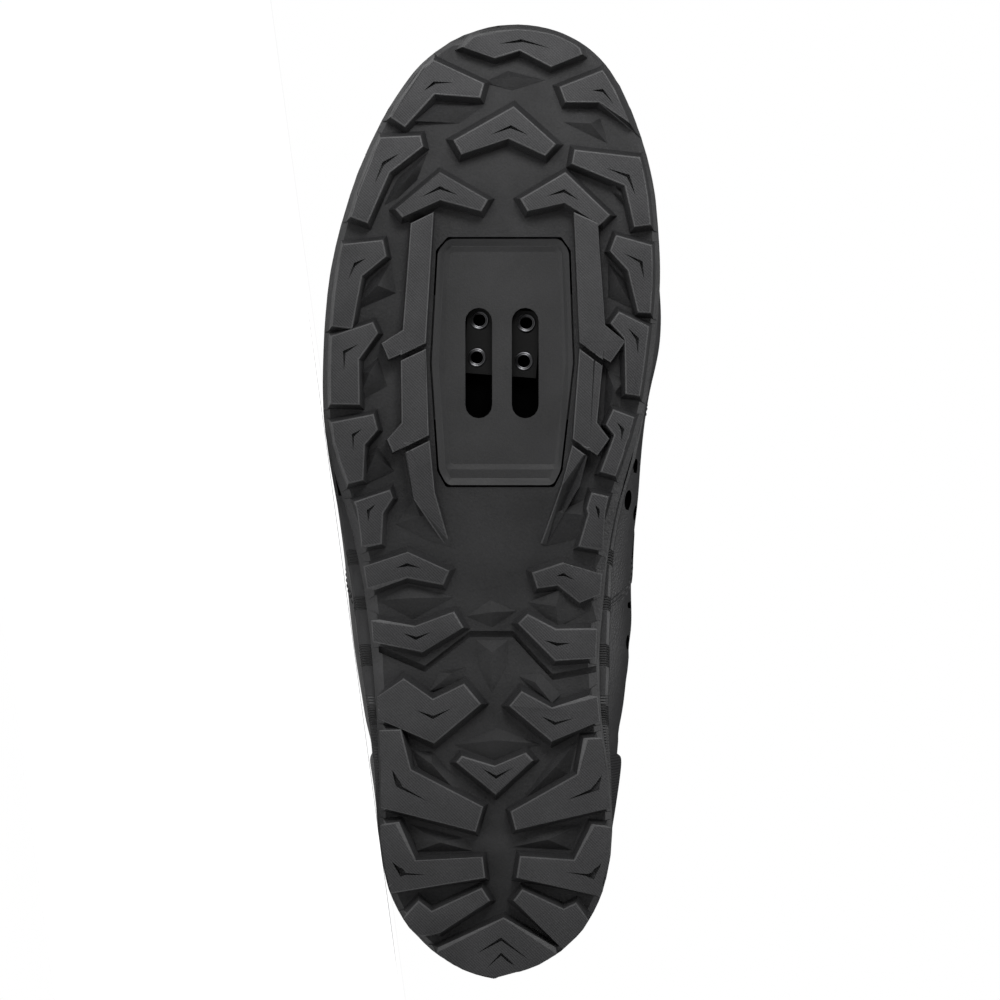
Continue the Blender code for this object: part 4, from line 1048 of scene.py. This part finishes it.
strap_rows = []
for node in ("strap_front", "strap_middle", "strap_instep"):
    strap = quad_copy(node, node + "_skin", 1)
    thin_end(strap)
    modify(strap, "BEVEL", width=0.35 * MM, segments=2, limit_method="ANGLE", angle_limit=math.radians(50))
    stands_for(strap, node, "strap", strap_cloth)
    smooth(strap, 50)
    middle = sum((chart(vert.co)[1] for vert in strap.data.vertices)) / len(strap.data.vertices)
    for edge_way in (-1, 1):
        for side in (-1, 1):
            spots = []
            for k in range(LOOKS):
                angle = math.radians(-5 + k * 0.63)
                edge_at = next((off for off in range(34, 4, -1)
                                if skin_spot(strap, middle + edge_way * off * 0.5, angle, side)), None)
                if edge_at:
                    spots.append(skin_spot(strap, middle + edge_way * (edge_at * 0.5 - 1.7), angle, side))
            strap_rows.append(spaced(spots))
stitches = sew("strap_stitches", strap_rows)

tab = quad_copy("heel_tab", "heel_tab_skin", 1)
modify(tab, "BEVEL", width=0.3 * MM, segments=2, limit_method="ANGLE", angle_limit=math.radians(50))
stands_for(tab, "heel_tab", "heel_tab", tab_cloth)
smooth(tab, 50)


# Floor, light and camera


def add_floor():
    bpy.ops.object.select_all(action="DESELECT")
    bpy.ops.mesh.primitive_plane_add(size=3.2, location=(0, -0.7, 0))
    floor = bpy.context.active_object
    floor.name = "floor"
    paper = Finish("floor_paper", (0.92, 0.92, 0.92), 0.9, specular_ior_level=0.1,
                   emission_color=(1, 1, 1, 1), emission_strength=0.5)
    floor.data.materials.append(paper.material)


def add_lamp(name, direction, distance, size, power):
    """A round lamp that faces the middle of the tread: metres, metres across and watts."""
    light = bpy.data.lights.new(name, "AREA")
    light.shape = "DISK"
    light.size = size
    light.energy = power
    lamp = bpy.data.objects.new(name, light)
    bpy.context.scene.collection.objects.link(lamp)
    way = direction.normalized()
    turn = way.to_track_quat("Z", "Y").to_matrix().to_4x4()
    lamp.matrix_world = Matrix.Translation(MIDDLE + way * distance) @ turn


def add_world():
    """White where the camera looks past the floor, and nearly dark as a light."""
    world = bpy.data.worlds.new("studio")
    bpy.context.scene.world = world
    world.use_nodes = True
    sky = world.node_tree
    seen = sky.nodes.new("ShaderNodeLightPath")
    strength = sky.nodes.new("ShaderNodeMapRange")
    sky.links.new(seen.outputs["Is Camera Ray"], strength.inputs["Value"])
    strength.inputs["To Min"].default_value = 0.04
    strength.inputs["To Max"].default_value = 1.0
    sky.links.new(strength.outputs[0], sky.nodes["Background"].inputs["Strength"])
    sky.nodes["Background"].inputs["Color"].default_value = (1, 1, 1, 1)


add_floor()
add_lamp("key", DOWN * 1.0 + TOE * 1.15 + ARCH * 0.4, 0.9, 0.32, 5.8)
add_lamp("toe", DOWN * 0.75 + TOE * 1.25, 0.34, 0.12, 0.38)
add_lamp("overhead", ARCH * 1.0 + DOWN * 0.22, 2.4, 1.2, 40.0)
add_world()
bpy.context.scene.view_settings.view_transform = "Standard"
add_camera()
